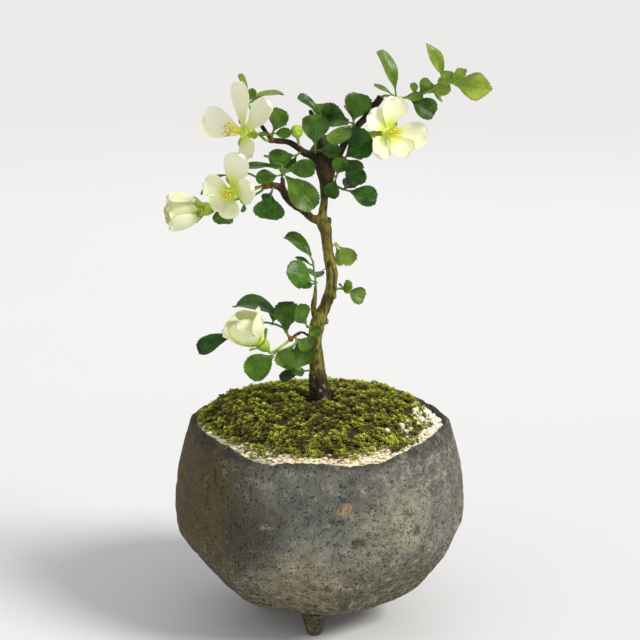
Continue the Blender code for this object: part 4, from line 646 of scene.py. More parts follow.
def tube(points, radii, sides):
    """A round limb through the points: its points and faces, with a flat cap at each end."""
    run = [Vector(point) for point in points]
    rings = []
    side = None
    for i, centre in enumerate(run):
        along = (run[min(i + 1, len(run) - 1)] - run[max(i - 1, 0)]).normalized()
        if side is None:
            side = along.orthogonal().normalized()
        side = (side - along * side.dot(along)).normalized()
        other = along.cross(side)
        for k in range(sides):
            angle = 2 * math.pi * k / sides
            rings.append(centre + (side * math.cos(angle) + other * math.sin(angle)) * float(radii[i]))
    faces = grid_faces(len(run), sides, True)
    faces += [tuple(reversed(range(sides))), last_ring(len(run), sides)]
    return np.array([tuple(point) for point in rings]), faces


def turned(profile, sides):
    """A skin turned about z from (radius, height) points."""
    angle = 2 * np.pi * np.arange(sides) / sides
    points = [np.stack([r * np.cos(angle), r * np.sin(angle), np.full(sides, z)], 1) for r, z in profile]
    return np.vstack(points), flipped(grid_faces(len(profile), sides, True))


def ball(subdivisions):
    """Points and triangles of a ball of radius one."""
    mesh = bmesh.new()
    bmesh.ops.create_icosphere(mesh, subdivisions=subdivisions, radius=1.0)
    points = np.array([tuple(vert.co) for vert in mesh.verts])
    faces = [tuple(vert.index for vert in face.verts) for face in mesh.faces]
    mesh.free()
    return points, faces


def turn_matrix(draw):
    """A turn about any axis, drawn at random."""
    axis = unit((draw.gauss(0, 1), draw.gauss(0, 1), draw.gauss(0, 1)))
    return np.array(Matrix.Rotation(draw.uniform(0, 2 * math.pi), 3, axis))


def put_along(place, x, y, z):
    """The matrix that puts the origin at a place, and the axes along three directions."""
    return Matrix.Translation(place) @ Matrix((x, y, z)).transposed().to_4x4()


# Materials.

class Number:
    """A number that a material works out, with the usual signs between such numbers."""

    def __init__(self, look, socket):
        self.look, self.socket = look, socket

    def __add__(self, other):
        return self.look.math("ADD", self, other)

    def __sub__(self, other):
        return self.look.math("SUBTRACT", self, other)

    def __rsub__(self, other):
        return self.look.math("SUBTRACT", other, self)

    def __mul__(self, other):
        return self.look.math("MULTIPLY", self, other)

    def __truediv__(self, other):
        return self.look.math("DIVIDE", self, other)

    def __pow__(self, other):
        return self.look.math("POWER", self, other)

    def __gt__(self, other):
        return self.look.math("GREATER_THAN", self, other)

    def __abs__(self):
        return self.look.math("ABSOLUTE", self)


class Look:
    """A material that is built up node by node, one coat of colour over another."""

    def __init__(self, name, **values):
        self.material = bpy.data.materials.new(name)
        self.material.use_nodes = True
        self.tree = self.material.node_tree
        self.shader = self.tree.nodes["Principled BSDF"]
        for socket, value in values.items():
            self.shader.inputs[socket.replace("_", " ")].default_value = value
        self.place = self.add("ShaderNodeTexCoord").outputs["Object"]
        self.colour = None

    def add(self, kind, inputs=(), **settings):
        node = self.tree.nodes.new(kind)
        for key, value in settings.items():
            setattr(node, key, value)
        for key, value in dict(inputs).items():
            self.put(node.inputs[key], value)
        return node

    def number(self, kind, output, inputs, **settings):
        return Number(self, self.add(kind, inputs, **settings).outputs[output])

    def put(self, socket, value):
        value = getattr(value, "socket", value)
        if isinstance(value, bpy.types.NodeSocket):
            self.tree.links.new(value, socket)
        else:
            socket.default_value = value

    def math(self, operation, a, b=0.0):
        return self.number("ShaderNodeMath", 0, {0: a, 1: b}, operation=operation)

    def most(self, value, *others):
        """The greatest of some numbers."""
        for other in others:
            value = self.math("MAXIMUM", value, other)
        return value

    def vector(self, operation, inputs, output="Vector"):
        return self.add("ShaderNodeVectorMath", inputs, operation=operation).outputs[output]

    def stretched(self, scale, place=None):
        """The place with each axis scaled on its own."""
        return self.add("ShaderNodeMapping", {"Vector": place or self.place, "Scale": scale}).outputs[0]

    def axes(self):
        """The place along x, y and z, in metres."""
        parts = self.add("ShaderNodeSeparateXYZ", {0: self.place}).outputs
        return [Number(self, part) for part in parts]

    def noise(self, scale, detail=3.0, roughness=0.55, place=None):
        inputs = {"Vector": place or self.place, "Scale": scale, "Detail": detail, "Roughness": roughness}
        return self.number("ShaderNodeTexNoise", "Fac", inputs)

    def cells(self, scale, place=None):
        """Distance to the nearest cell's middle, and a number of each cell's own."""
        node = self.add("ShaderNodeTexVoronoi", {"Vector": place or self.place, "Scale": scale})
        own = self.number("ShaderNodeSeparateColor", 0, {0: node.outputs["Color"]})
        return node.outputs["Distance"], own

    def ramp(self, value, low, high, start=0.0, end=1.0):
        """Runs smoothly from start to end while the value runs from low to high."""
        inputs = {"Value": value, "From Min": low, "From Max": high, "To Min": start, "To Max": end}
        return self.number("ShaderNodeMapRange", "Result", inputs, interpolation_type="SMOOTHSTEP")

    def mix(self, share, first, second):
        """A colour between two, each given as red, green and blue or as a socket."""
        node = self.add("ShaderNodeMix", data_type="RGBA")
        self.put(node.inputs[0], share)
        for socket, colour in ((node.inputs[6], first), (node.inputs[7], second)):
            self.put(socket, (*colour, 1.0) if isinstance(colour, tuple) else colour)
        return node.outputs[2]

    def between(self, value, low, high, first, second):
        """A colour that runs from the first to the second while the value runs from low to high."""
        return self.mix(self.ramp(value, low, high), first, second)

    def paint(self, share, colour):
        """Covers a share of the coats so far with a colour."""
        self.colour = self.mix(share, self.colour, colour)

    def wandered(self, reach, scale=260.0):
        """The place, moved about by noise by up to about reach millimetres."""
        wander = self.add("ShaderNodeTexNoise", {"Vector": self.place, "Scale": scale, "Detail": 3.0})
        middle = self.vector("SUBTRACT", {0: wander.outputs["Color"], 1: (0.5, 0.5, 0.5)})
        return self.vector("ADD", {0: self.place, 1: self.vector("SCALE", {0: middle, "Scale": reach * MM})})

    def blots(self, table, patchy):
        """Paints the ragged spots of a table, each falling to nothing outside its radius."""
        for point, radius, ragged, share, tone in table:
            spot = tuple((np.array(point) + SHIFT) * MM)
            gap = self.vector("DISTANCE", {0: self.wandered(ragged), 1: spot}, "Value")
            self.paint(self.ramp(gap, radius * MM, radius * 0.35 * MM) * patchy * share, tone)

    def marks(self):
        """The four marks of the piece's points."""
        node = self.add("ShaderNodeAttribute", attribute_name="mark")
        parts = self.add("ShaderNodeSeparateColor", {0: node.outputs["Color"]}).outputs
        return [Number(self, part) for part in (*parts, node.outputs["Alpha"])]

    def finish(self, roughness=None, height=None, depth=0.0):
        """Joins what was built to the shader. Depth is the bump's full height in millimetres."""
        self.put(self.shader.inputs["Base Color"], self.colour)
        if roughness is not None:
            self.put(self.shader.inputs["Roughness"], roughness)
        if height is not None:
            bump = self.add("ShaderNodeBump", {"Height": height, "Distance": depth * MM, "Strength": 1.0})
            self.tree.links.new(bump.outputs["Normal"], self.shader.inputs["Normal"])
        return self.material


def stoneware():
    """Grey fired clay: brown toward the sides, back and bottom, pale in clouds, pitted, with a few rusty
    spots. The grey front is partly a painted sheen of sky light, and the left is browner and darker as
    painted shade with warm bounce light.
    """
    look = Look("stoneware", Specular_IOR_Level=0.3)
    x, y, z = look.axes()
    cloud = look.noise(42.0, 5.0, 0.6)
    mottle = look.noise(210.0, 6.0, 0.70)
    grain = look.noise(1500.0, 3.0, 0.7)
    wide = look.noise(26.0, 4.0, 0.6)
    low_down = look.ramp(z, 0.044, 0.018)
    # Painted shade: toward the left, away from the light, the clay turns browner and darker, with warm bounce
    # light painted in.
    left = look.ramp(x + wide * 0.03, 0.004, -0.022)
    right = look.ramp(x - wide * 0.02, 0.026, 0.040)
    back = look.ramp(wide, 0.50, 0.66) * look.ramp(y, -0.010, 0.020)
    look.colour = look.between(cloud, 0.36, 0.66, CLAY["dark"], CLAY["grey"])
    # Brown over the sides, back and bottom leaves the front grey. This is partly the clay's own colour and
    # partly painted light: the grey front stands in for a sheen of sky light, and the brown at the left, with
    # fewer pale clouds there, stands in for shade.
    look.paint(look.most(left, right * 0.35, back, low_down * 0.75), CLAY["brown"])
    look.blots(CLAY_CLOUDS, look.ramp(mottle, 0.34, 0.62, 0.35, 1.0))
    look.paint(look.ramp(mottle, 0.52, 0.70) * (0.80 - left * 0.60), CLAY["pale"])
    look.paint(look.ramp(mottle, 0.48, 0.30, 0.0, 0.85), CLAY["shade"])

    # A crumbly skin low down and to the right, but not on the feet.
    crumble = look.noise(1.0, 5.0, 0.72, look.stretched((420.0, 420.0, 800.0), look.wandered(2.4)))
    coarse = look.most(low_down * 0.9, look.ramp(x, 0.004, 0.034, 0.0, 0.55)) * look.ramp(z, 0.007, 0.013)
    look.paint(look.ramp(crumble, 0.52, 0.62, 0.0, 0.6) * coarse, CLAY["crumbs"])
    look.paint(look.ramp(crumble, 0.47, 0.38, 0.0, 0.8) * coarse, CLAY["shade"])
    look.blots(CLAY_SPOTS, look.ramp(grain, 0.34, 0.55, 0.55, 1.0))

    # Pits, scratches and cracks, painted near black for the shade inside them.
    density = low_down * 0.16 + look.ramp(wide, 0.42, 0.66, 0.0, 0.14)
    pits = []
    for wander, stretch, rare, edge in PIT_LAYERS:
        gap, own = look.cells(1.0, look.stretched(stretch, look.wandered(wander, 900.0)))
        pits.append(look.ramp(gap, edge, edge * 0.4) * (own > rare - density))
    scratch = look.noise(1.0, 4.0, 0.65, look.stretched((640.0, 640.0, 120.0), look.wandered(2.2)))
    scratch = look.ramp(scratch, 0.615, 0.70) * look.ramp(cloud, 0.46, 0.56) * 0.7
    inputs = {"Vector": look.stretched((1.0, 1.0, 0.7), look.wandered(3.0)), "Scale": 230.0}
    crack = look.number("ShaderNodeTexVoronoi", "Distance", inputs, feature="DISTANCE_TO_EDGE")
    broken = look.ramp(look.noise(150.0, 4.0, 0.6), 0.55, 0.64) * look.ramp(mottle, 0.42, 0.58)
    holes = look.most(*pits, scratch, look.ramp(crack, 0.034, 0.010) * (broken * 0.6))
    look.paint(holes * 0.66, CLAY["pit_shade"])

    # Pale specks, and the dark rim.
    gap, own = look.cells(1250.0)
    look.paint(look.ramp(gap, 0.30, 0.12) * (own > 0.955) * 0.65, CLAY["speck"])
    look.paint(look.ramp(z, 0.0672, 0.0700) * look.ramp(mottle, 0.62, 0.42, 0.25, 0.75), CLAY["rim"])
    relief = grain * 0.22 + mottle * 0.70 - holes * 0.75
    return look.finish(look.ramp(mottle, 0.30, 0.70, 0.66, 0.90), relief, 1.25)


def plain(name, colour, second, scale, roughness, depth):
    """Two colours in clouds, with a bump of the same noise."""
    look = Look(name, Roughness=roughness)
    cloud = look.noise(scale, 5.0, 0.65)
    look.colour = look.between(cloud, 0.35, 0.65, colour, second)
    return look.finish(None, cloud, depth)


def stones():
    """Grit: the marks hold each stone's own colour."""
    look = Look("grit", Specular_IOR_Level=0.3)
    red, green, blue, _ = look.marks()
    look.colour = look.add("ShaderNodeCombineColor", {0: red, 1: green, 2: blue}).outputs[0]
    cloud = look.noise(900.0, 5.0, 0.7)
    look.paint(look.ramp(cloud, 0.56, 0.36), look.mix(0.14, look.colour, STONE["shade"]))
    return look.finish(look.ramp(cloud, 0.3, 0.7, 0.95, 0.75), cloud, 0.35)


def moss_look():
    """Moss shoots: marks are the height within the shoot, the shoot's tone and its share of dead brown. Low
    in a shoot, and on the carpet, the colour runs to a near-black base: painted shade.
    """
    look = Look("moss", Specular_IOR_Level=0.2)
    rise, tone, brown, _ = look.marks()
    cloud = look.noise(1400.0, 3.0, 0.6)
    green = look.mix(tone, MOSS["deep"], MOSS["bright"])
    # Painted shade: the lower a point lies in its shoot, the nearer its colour is to the near-black base.
    look.colour = look.between(rise, 0.26, 0.86, MOSS["base"], green)
    look.paint(look.ramp(rise, 0.78, 1.0, 0.0, 0.80), MOSS["tip"])
    look.paint(brown, MOSS["dead"])
    look.paint(look.ramp(cloud, 0.56, 0.36, 0.0, 0.35), MOSS["shade"])
    return look.finish(look.ramp(cloud, 0.3, 0.7, 0.9, 0.65), cloud, 0.08)


def bark_look():
    """Bark: marks are cut wood, bud scales, how deep a point lies in the relief (painted darker there as
    shade in the grooves), and how dark the limb is (painted shade high in the crown under the leaves and on
    the limbs to the left, and darker toward the foot).
    """
    look = Look("bark", Specular_IOR_Level=0.18)
    cut, scale, deep, dark = look.marks()
    cloud = look.noise(150.0, 5.0, 0.62)
    fine = look.noise(1250.0, 4.0, 0.65)
    streak = look.noise(1.0, 4.0, 0.6, look.stretched((1000.0, 1000.0, 230.0), look.wandered(0.8, 500.0)))
    look.colour = look.between(cloud, 0.38, 0.60, BARK["olive"], BARK["lit olive"])
    look.paint(look.ramp(look.noise(330.0, 4.0, 0.6), 0.60, 0.72), BARK["tan"])
    # Painted shade: the dark mark darkens the bark high in the crown under the leaves and on the left limbs,
    # and toward the foot.
    look.paint(dark, look.between(cloud, 0.36, 0.66, BARK["dark"], BARK["lit dark"]))
    look.paint(look.ramp(streak, 0.50, 0.36, 0.0, 0.9), BARK["streak"])
    # Painted shade in the grooves of the relief.
    look.paint(deep * 0.8, BARK["deep"])
    gap, own = look.cells(760.0, look.stretched((1.0, 1.0, 1.7)))
    pore = look.ramp(gap, 0.28, 0.15) * (own > 0.80)
    look.paint(pore * 0.5, BARK["pore"])
    gap, own = look.cells(460.0, look.wandered(1.6, 700.0))
    flake = look.ramp(gap, 0.36, 0.18) * (own > 0.60)
    look.paint(flake * look.ramp(look.axes()[2], 0.0955, 0.0860) * 0.8, BARK["flake"])
    look.paint(scale * 0.8, BARK["scale"])
    look.paint(cut, BARK["cut"])
    relief = fine * 0.35 + streak * 0.65 + pore * 0.35
    return look.finish(look.ramp(fine, 0.3, 0.7, 0.6, 0.85), relief, 0.40)


def leaf_look():
    """Leaves: marks are the place along the blade and across it, the tone, and 1 on the upper face."""
    look = Look("leaf", Specular_IOR_Level=0.26, Subsurface_Weight=0.06, Subsurface_Scale=0.001)
    along, across, tone, upper = look.marks()
    side = abs(across * 2.0 - 1.0)
    cloud = look.noise(230.0, 4.0, 0.6)
    deep = look.between(cloud, 0.36, 0.66, LEAF["deep"], LEAF["lit deep"])
    young = look.between(cloud, 0.40, 0.62, LEAF["young"], LEAF["lit young"])
    look.colour = look.mix(tone ** 1.45, deep, young)
    saw = abs(look.math("FRACT", along * 9.0 - side * 2.6) - 0.5)
    rib = look.ramp(saw, 0.10, 0.02) * look.ramp(side, 1.0, 0.75)
    veins = look.most(look.ramp(side, 0.085, 0.025), rib * 0.4)
    look.paint(veins * 0.24, LEAF["vein"])
    look.paint(look.ramp(side, 0.84, 1.0) * look.ramp(tone, 0.45, 0.70) * 0.55, LEAF["red edge"])
    look.colour = look.mix(upper, look.mix(0.50, look.colour, LEAF["under"]), look.colour)
    cells, _ = look.cells(3200.0)
    relief = look.math("MULTIPLY", cells, 0.2) - veins * 0.8 + cloud * 0.8
    rough = 0.58 - upper * 0.38 + look.ramp(cloud, 0.3, 0.7, 0.0, 0.12)
    return look.finish(rough, relief, 0.16)


def petal_look():
    """Petals: marks are the place along the petal and across it, and the tone."""
    look = Look("petal", Specular_IOR_Level=0.25, Subsurface_Weight=0.12, Subsurface_Scale=0.001)
    along, across, tone, _ = look.marks()
    cloud = look.noise(170.0, 3.0, 0.5)
    tip = look.between(cloud, 0.35, 0.68, PETAL["cream"], PETAL["white"])
    heart = look.between(tone, 0.0, 0.16, PETAL["pale heart"], PETAL["green heart"])
    look.colour = look.between(along, 0.08, 0.56, heart, tip)
    look.paint(tone * 0.65, PETAL["young"])
    fan = (across - 0.5) / (along + 0.25)
    lines = look.add("ShaderNodeCombineXYZ", {0: fan * 34.0, 1: along * 2.2}).outputs[0]
    vein = look.noise(1.0, 3.0, 0.5, lines)
    look.paint(look.ramp(vein, 0.56, 0.68, 0.0, 0.3), PETAL["vein"])
    return look.finish(look.ramp(cloud, 0.3, 0.7, 0.42, 0.58), vein, 0.10)


def stamen_look():
    """Stamens: marks are 1 on the anthers and their redness."""
    look = Look("stamen", Roughness=0.6)
    anther, red, _, _ = look.marks()
    cloud = look.noise(2600.0, 2.0, 0.5)
    look.colour = look.mix(anther, STAMEN["filament"], look.mix(red, STAMEN["anther"], STAMEN["red anther"]))
    look.paint(look.ramp(cloud, 0.6, 0.4, 0.0, 0.35), STAMEN["shade"])
    return look.finish(None, cloud, 0.08)


def calyx_look():
    """Calyx and bud: marks are redness at the edges, and the tone."""
    look = Look("calyx", Specular_IOR_Level=0.45, Subsurface_Weight=0.12, Subsurface_Scale=0.001)
    red, tone, _, _ = look.marks()
    cloud = look.noise(420.0, 4.0, 0.6)
    look.colour = look.between(cloud, 0.36, 0.66, CALYX["green"], CALYX["lit green"])
    look.paint(tone, CALYX["dark"])
    look.paint(red * 0.6, CALYX["red"])
    return look.finish(look.ramp(cloud, 0.3, 0.7, 0.34, 0.5), cloud, 0.12)


# Pot.

def wall_points(radius, height, azimuth, inset):
    """Points of the wall: the turned profile, paddled flat on its facets and waved at the rim."""
    angle = np.radians(azimuth)
    points = np.stack([radius * np.cos(angle), radius * np.sin(angle),
                       np.broadcast_to(height - FLATS_MIDDLE, angle.shape)], -1)
    for flat_azimuth, tilt, distance in FLATS:
        turn, fall = math.radians(flat_azimuth), math.radians(tilt)
        normal = np.array([math.cos(turn) * math.cos(fall), math.sin(turn) * math.cos(fall), -math.sin(fall)])
        proud = points @ normal - (distance - inset)
        points = points - ((proud + np.sqrt(proud ** 2 + FLATS_CRISPER ** 2)) / 2)[..., None] * normal
    points[..., 2] += FLATS_MIDDLE
    lift = max(0.0, (height - RIM_WAVE_FROM) / (RIM_BASE - RIM_WAVE_FROM)) ** 2
    points[..., 2] += (round_table(RIM_HEIGHTS, azimuth) - RIM_BASE) * lift
    return points


def thinned(radius, height):
    """Radius of the inside of the wall where it grows thinner toward the rim."""
    return radius + RIM_THINNER * smoothstep(*RIM_THINNED, height)


def inner_ring(height, inset, azimuth):
    """Points of the inside of the wall at a height, moved in by an inset."""
    profile = np.array(INNER_PROFILE)
    radius = thinned(np.interp(height, profile[:, 1], profile[:, 0]), height)
    return wall_points(np.full(azimuth.shape, radius - inset), height, azimuth, WALL_AT_FLATS + inset)


def make_pot():
    """The bowl with its drain hole, dents, chips and knobbly rim, and the three feet."""
    azimuth = around(POT_COLUMNS)
    hole_radius, hole_top = INNER_PROFILE[0]
    hole_bottom = OUTER_PROFILE[-1][1]
    rim_radius = (OUTER_PROFILE[0][0] + INNER_PROFILE[-1][0]) / 2
    # Rings as (radius, height, inset of the flats, roughness), down the outside and up the inside.
    rows = [(radius, height, 0.0, 1.0) for radius, height in smooth_run(OUTER_PROFILE, POT_OUTER_STEPS)]
    rows += [(hole_radius, hole_bottom + (hole_top - hole_bottom) * share, WALL_AT_FLATS * share, 0.3)
             for share in (0.25, 0.5, 0.75)]
    rows += [(thinned(radius, height), height, WALL_AT_FLATS, 0.5)
             for radius, height in smooth_run(INNER_PROFILE, POT_INNER_STEPS)]
    rows.append((rim_radius + RIM_THINNER / 2, RIM_BASE + 0.3, WALL_AT_FLATS / 2, 0.8))
    points = np.vstack([wall_points(np.full(POT_COLUMNS, radius), height, azimuth, inset)
                        for radius, height, inset, _ in rows])
    rough = np.repeat([row[3] for row in rows], POT_COLUMNS)
    faces = flipped(ring_faces(len(rows), POT_COLUMNS))
    relief = sum(height * lumps(points * stretch, wavelength, seed)
                 for height, wavelength, seed, stretch in CLAY_RELIEF)
    for depth, wavelength, seed, stretch, least in CLAY_HOLLOWS:
        relief = relief - depth * np.clip(lumps(points * stretch, wavelength, seed) - least, 0.0, 1.0)
    near_rim = smoothstep(*NEAR_RIM, points[:, 2])
    relief = relief * rough * (1 - 0.35 * near_rim)
    points = points + point_normals(points, faces) * relief[:, None]
    knobs = sum(height * lumps(points, wavelength, seed) for height, wavelength, seed in RIM_KNOBS)
    points[:, 2] += near_rim * knobs
    heap = Heap()
    heap.add(points, faces)

    # The feet spread where they meet the bowl.
    bowl = BVHTree.FromPolygons(points.tolist(), faces)
    run = smooth_run(FOOT_PROFILE, FOOT_STEPS)
    for number, foot_azimuth in enumerate(FOOT_AZIMUTHS):
        place = np.array([*polar(FOOT_DISTANCE, foot_azimuth), 0.0])
        foot, foot_faces = turned(run, FOOT_COLUMNS)
        foot = foot + place
        hits = [bowl.ray_cast(Vector(point), Vector((0, 0, 1)), FOOT_RAY) for point in foot]
        gaps = np.array([0.0 if hit[0] is None else hit[3] for hit in hits])
        flare = 1.0 + FOOT_FLARE * np.exp(-gaps / FOOT_FLARE_FADE)
        foot[:, :2] = place[:2] + (foot[:, :2] - place[:2]) * flare[:, None]
        above = smoothstep(0.0, 1.2, foot[:, 2])
        uneven = (0.14 * lumps(foot, 2.6, 8 + number) * above)[:, None]
        foot[:, :2] += uneven * (foot[:, :2] - place[:2]) / 2
        heap.add(foot, foot_faces + [last_ring(len(run), FOOT_COLUMNS)])
    return heap.piece("pot_detail", stoneware(), "stoneware", "pot")


# Fill of the pot.

def dome(x, y):
    """Height of the domed fill, fuller to the sides than to the front and back."""
    return DOME_TOP - DOME_FALL * np.hypot(x / DOME_STRETCH, y) ** 3


def on_circle(radius, azimuth, height):
    """Points at a distance from the pot's axis, at azimuths in degrees and a height."""
    angle = np.radians(azimuth)
    height = np.broadcast_to(height, angle.shape)
    return np.stack([radius * np.cos(angle), radius * np.sin(angle), height], -1)


def ring_on(height_at, radius, azimuth):
    """A ring of points on a top that is given by its height at x and y."""
    row = on_circle(radius, azimuth, 0.0)
    row[:, 2] = height_at(row[:, 0], row[:, 1])
    return row


def make_net():
    """The plastic net: round-edged bars that cross."""
    heap = Heap()
    pitch = NET_HOLE_WIDTH + NET_BAR_WIDTH
    reach = pitch * (NET_BARS - 1) / 2 + NET_BAR_WIDTH / 2
    sides = len(NET_SECTION)
    for turn in (0, 1):
        for bar in range(NET_BARS):
            middle = (bar - (NET_BARS - 1) / 2) * pitch
            rows = []
            for step in np.linspace(-reach, reach, NET_STEPS):
                waist = 1 - 0.14 * abs(math.sin(math.pi * (step + reach - NET_BAR_WIDTH / 2) / pitch))
                for across, up in NET_SECTION:
                    beside = middle + across * NET_BAR_WIDTH * waist
                    height = POT_FLOOR + GAP + up * NET_THICKNESS
                    rows.append((beside, step, height) if turn else (step, beside, height))
            faces = grid_faces(NET_STEPS, sides, True)
            faces += [tuple(reversed(range(sides))), last_ring(NET_STEPS, sides)]
            heap.add(rows, faces if turn else flipped(faces))
    material = plain("net", *NET, 800.0, 0.5, 0.05)
    return heap.piece("drain_net_detail", material, "net", "drain_net")


def make_soil():
    """The fill, with a crumbly top round the foot of the trunk."""
    azimuth = around(SOIL_COLUMNS)
    floor = POT_FLOOR + GAP + NET_THICKNESS + GAP
    rows = [on_circle(radius, azimuth, height) for radius, height in (
        (TRUNK_HOLE, HOLE_FLOOR), (TRUNK_HOLE, COLLAR_HEIGHT),
        (TRUNK_HOLE + 0.3, COLLAR_HEIGHT - 0.2), (COLLAR_RADIUS, COLLAR_HEIGHT - 0.2))]
    rows += [ring_on(lambda x, y: dome(x, y) - SOIL_UNDER_MOSS, radius, azimuth)
             for radius in (COLLAR_RADIUS + 0.4, *SOIL_TOP_RINGS, SHELF_RADIUS)]
    rows.append(on_circle(SHELF_RADIUS, azimuth, SHELF_HEIGHT))
    rows += [inner_ring(height, SOIL_CLEARANCE, azimuth)
             for height in (SHELF_HEIGHT, *SOIL_SIDE_RINGS)]
    rows.append(on_circle(SOIL_FLOOR_RADIUS, azimuth, floor))
    points = np.vstack(rows)
    faces = flipped(grid_faces(len(rows), SOIL_COLUMNS, True))
    faces += [tuple(range(SOIL_COLUMNS)), last_ring(len(rows), SOIL_COLUMNS)[::-1]]
    inside = (points[:, 2] < 60) & (points[:, 2] > floor + 0.5)
    points[:, :2] *= 1 - 0.004 * (1 + lumps(points, 3.0, 20))[:, None] * inside[:, None]
    heap = Heap()
    heap.add(points, faces)
    draw = random.Random(3)
    crumb, crumb_faces = ball(2)
    for _ in range(SOIL_CRUMBS):
        radius = math.sqrt(draw.uniform((TRUNK_HOLE - 0.3) ** 2, (MOSS_HOLE + 1.4) ** 2))
        turn = draw.uniform(0, 360)
        size = draw.uniform(*CRUMB_SIZES)
        spot = on_circle(radius, np.array(turn), COLLAR_HEIGHT + draw.uniform(-0.1, 0.9))
        shape = crumb * (1 + 0.22 * lumps(crumb * size * 3, 1.0, draw.randint(0, 90)))[:, None]
        heap.add(shape @ turn_matrix(draw).T * size * np.array([1, 1, 0.8]) + spot, crumb_faces)
    material = plain("soil", *SOIL, 700.0, 0.95, 0.35)
    return heap.piece("soil_detail", material, "soil", "soil")


def stone_kind(draw, azimuth):
    """Colour, size and flatness of a grain: cream in front, flat and greyish at the left, white at right."""
    left = math.exp(-((azimuth - GREY_STONES[0]) / GREY_STONES[1]) ** 2)
    right = math.exp(-(((azimuth + 180) % 360 - 180 - WHITE_STONES[0]) / WHITE_STONES[1]) ** 2)
    kind, size, flat = "cream", draw.uniform(0.6, 1.4), draw.uniform(0.26, 0.55)
    if draw.random() < left:
        kind, size, flat = "grey", draw.uniform(1.4, 2.4), 0.36
    elif draw.random() < right:
        kind, size, flat = "white", draw.uniform(0.9, 1.8), draw.uniform(0.6, 0.85)
    elif draw.random() < 0.10:
        kind = "rosy"
    elif draw.random() < 0.06:
        kind = "brown"
    return np.clip(np.array(STONE[kind]) * draw.uniform(0.92, 1.04), 0, 1), size, flat


def moss_top(x, y):
    """Top of the moss carpet under its shoots, and how far the carpet reaches in that direction."""
    radius = np.hypot(x, y)
    edge = round_table(MOSS_EDGES, np.degrees(np.arctan2(y, x)))
    height = dome(x, y)
    for (depth, breadth), inside in ((MOSS_OUTER_ROUNDING, edge - radius),
                                     (MOSS_INNER_ROUNDING, radius - MOSS_HOLE)):
        height = height - depth * np.clip(1 - inside / breadth, 0.0, 1.4) ** 2
    return height, edge


def bed_top(radius, azimuth):
    """Height of the grit, which rises from the wall to the moss and runs on under it, and its two borders."""
    far = np.linalg.norm(inner_ring(GRIT_TOP, GRIT_CLEARANCE, azimuth)[..., :2], axis=-1)
    near = round_table(MOSS_EDGES, azimuth) - BED_UNDER_MOSS
    angle = np.radians(azimuth)
    at_wall = np.maximum(round_table(RIM_HEIGHTS, azimuth) - 1.0, GRIT_TOP + 0.2)
    at_moss = np.maximum(moss_top(near * np.cos(angle), near * np.sin(angle))[0], at_wall)
    share = np.clip((far - radius) / (far - near), 0.0, 1.0)
    return at_wall + (at_moss - at_wall) * share ** 1.3, near, far


def make_grit():
    """The bed of pale grains, heaped a little against the moss, with white granules in the moss at right."""
    draw = random.Random(11)
    azimuth = around(GRIT_COLUMNS)
    bottom = SHELF_HEIGHT + GAP
    inner = SHELF_RADIUS + 0.5
    outer = bed_top(inner, azimuth)[2]
    rows = [on_circle(inner, azimuth, GRIT_TOP - 1.2), on_circle(inner, azimuth, bottom),
            inner_ring(bottom, GRIT_CLEARANCE, azimuth)]
    for share in (1.0, 0.75, 0.5, 0.25):
        radius = inner + (outer - inner) * share
        rows.append(on_circle(radius, azimuth, bed_top(radius, azimuth)[0] - 0.5))
    heap = Heap()
    greyer = 0.5 * np.exp(-((azimuth - GREY_STONES[0]) / GREY_STONES[1]) ** 2)[:, None]
    tones = np.hstack([np.array(STONE["bed"]) * (1 - greyer), np.ones((GRIT_COLUMNS, 1))])
    heap.add(np.vstack(rows), ring_faces(len(rows), GRIT_COLUMNS), np.tile(tones, (len(rows), 1)))
    stone, stone_faces = ball(2)
    spots = []
    for _ in range(STONE_TRIES):
        turn = draw.uniform(0, 360)
        _, near, far = bed_top(0.0, np.array(turn))
        colour, size, flat = stone_kind(draw, turn)
        if far - size * 0.8 <= near:
            continue
        radius = draw.uniform(float(near), float(far) - size * 0.8)
        x, y = polar(radius, turn)
        if any(abs(x - far_x) < GRAIN_REACH
               and (x - far_x) ** 2 + (y - far_y) ** 2 < (GRAINS_CLOSEST * (size + other)) ** 2
               for far_x, far_y, other in spots):
            continue
        spots.append((x, y, size))
        stretch = np.array([draw.uniform(0.85, 1.25), draw.uniform(0.8, 1.1), flat]) * size
        turned_stone = stone @ turn_matrix(draw).T
        facets = 1 + 0.40 * lumps(turned_stone * 1.5, 1.0, draw.randint(0, 999))
        height = float(bed_top(radius, np.array(turn))[0]) - size * flat * 0.6 + draw.uniform(-0.15, 0.25)
        place = np.array([x, y, height])
        heap.add(turned_stone * facets[:, None] * stretch + place, stone_faces, (*colour, 1.0))
        if len(spots) >= STONE_COUNT:
            break
    for _ in range(GRANULES_IN_MOSS):
        turn = draw.gauss(*GRANULES_AT) % 360
        radius = float(round_table(MOSS_EDGES, turn)) + draw.uniform(*GRANULE_BAND)
        x, y = polar(radius, turn)
        size = draw.uniform(*GRANULE_SIZES)
        facets = 1 + 0.55 * lumps(stone * 1.2, 1.0, draw.randint(0, 999))
        place = np.array([x, y, float(moss_top(x, y)[0]) + draw.uniform(0.4, 1.3)])
        tone = np.clip(np.array(STONE["granule"]) * draw.uniform(0.75, 1.05), 0, 1)
        heap.add(stone * facets[:, None] * size + place, stone_faces, (*tone, 1.0))
    return heap.piece("grit_detail", stones(), "grit", "grit")


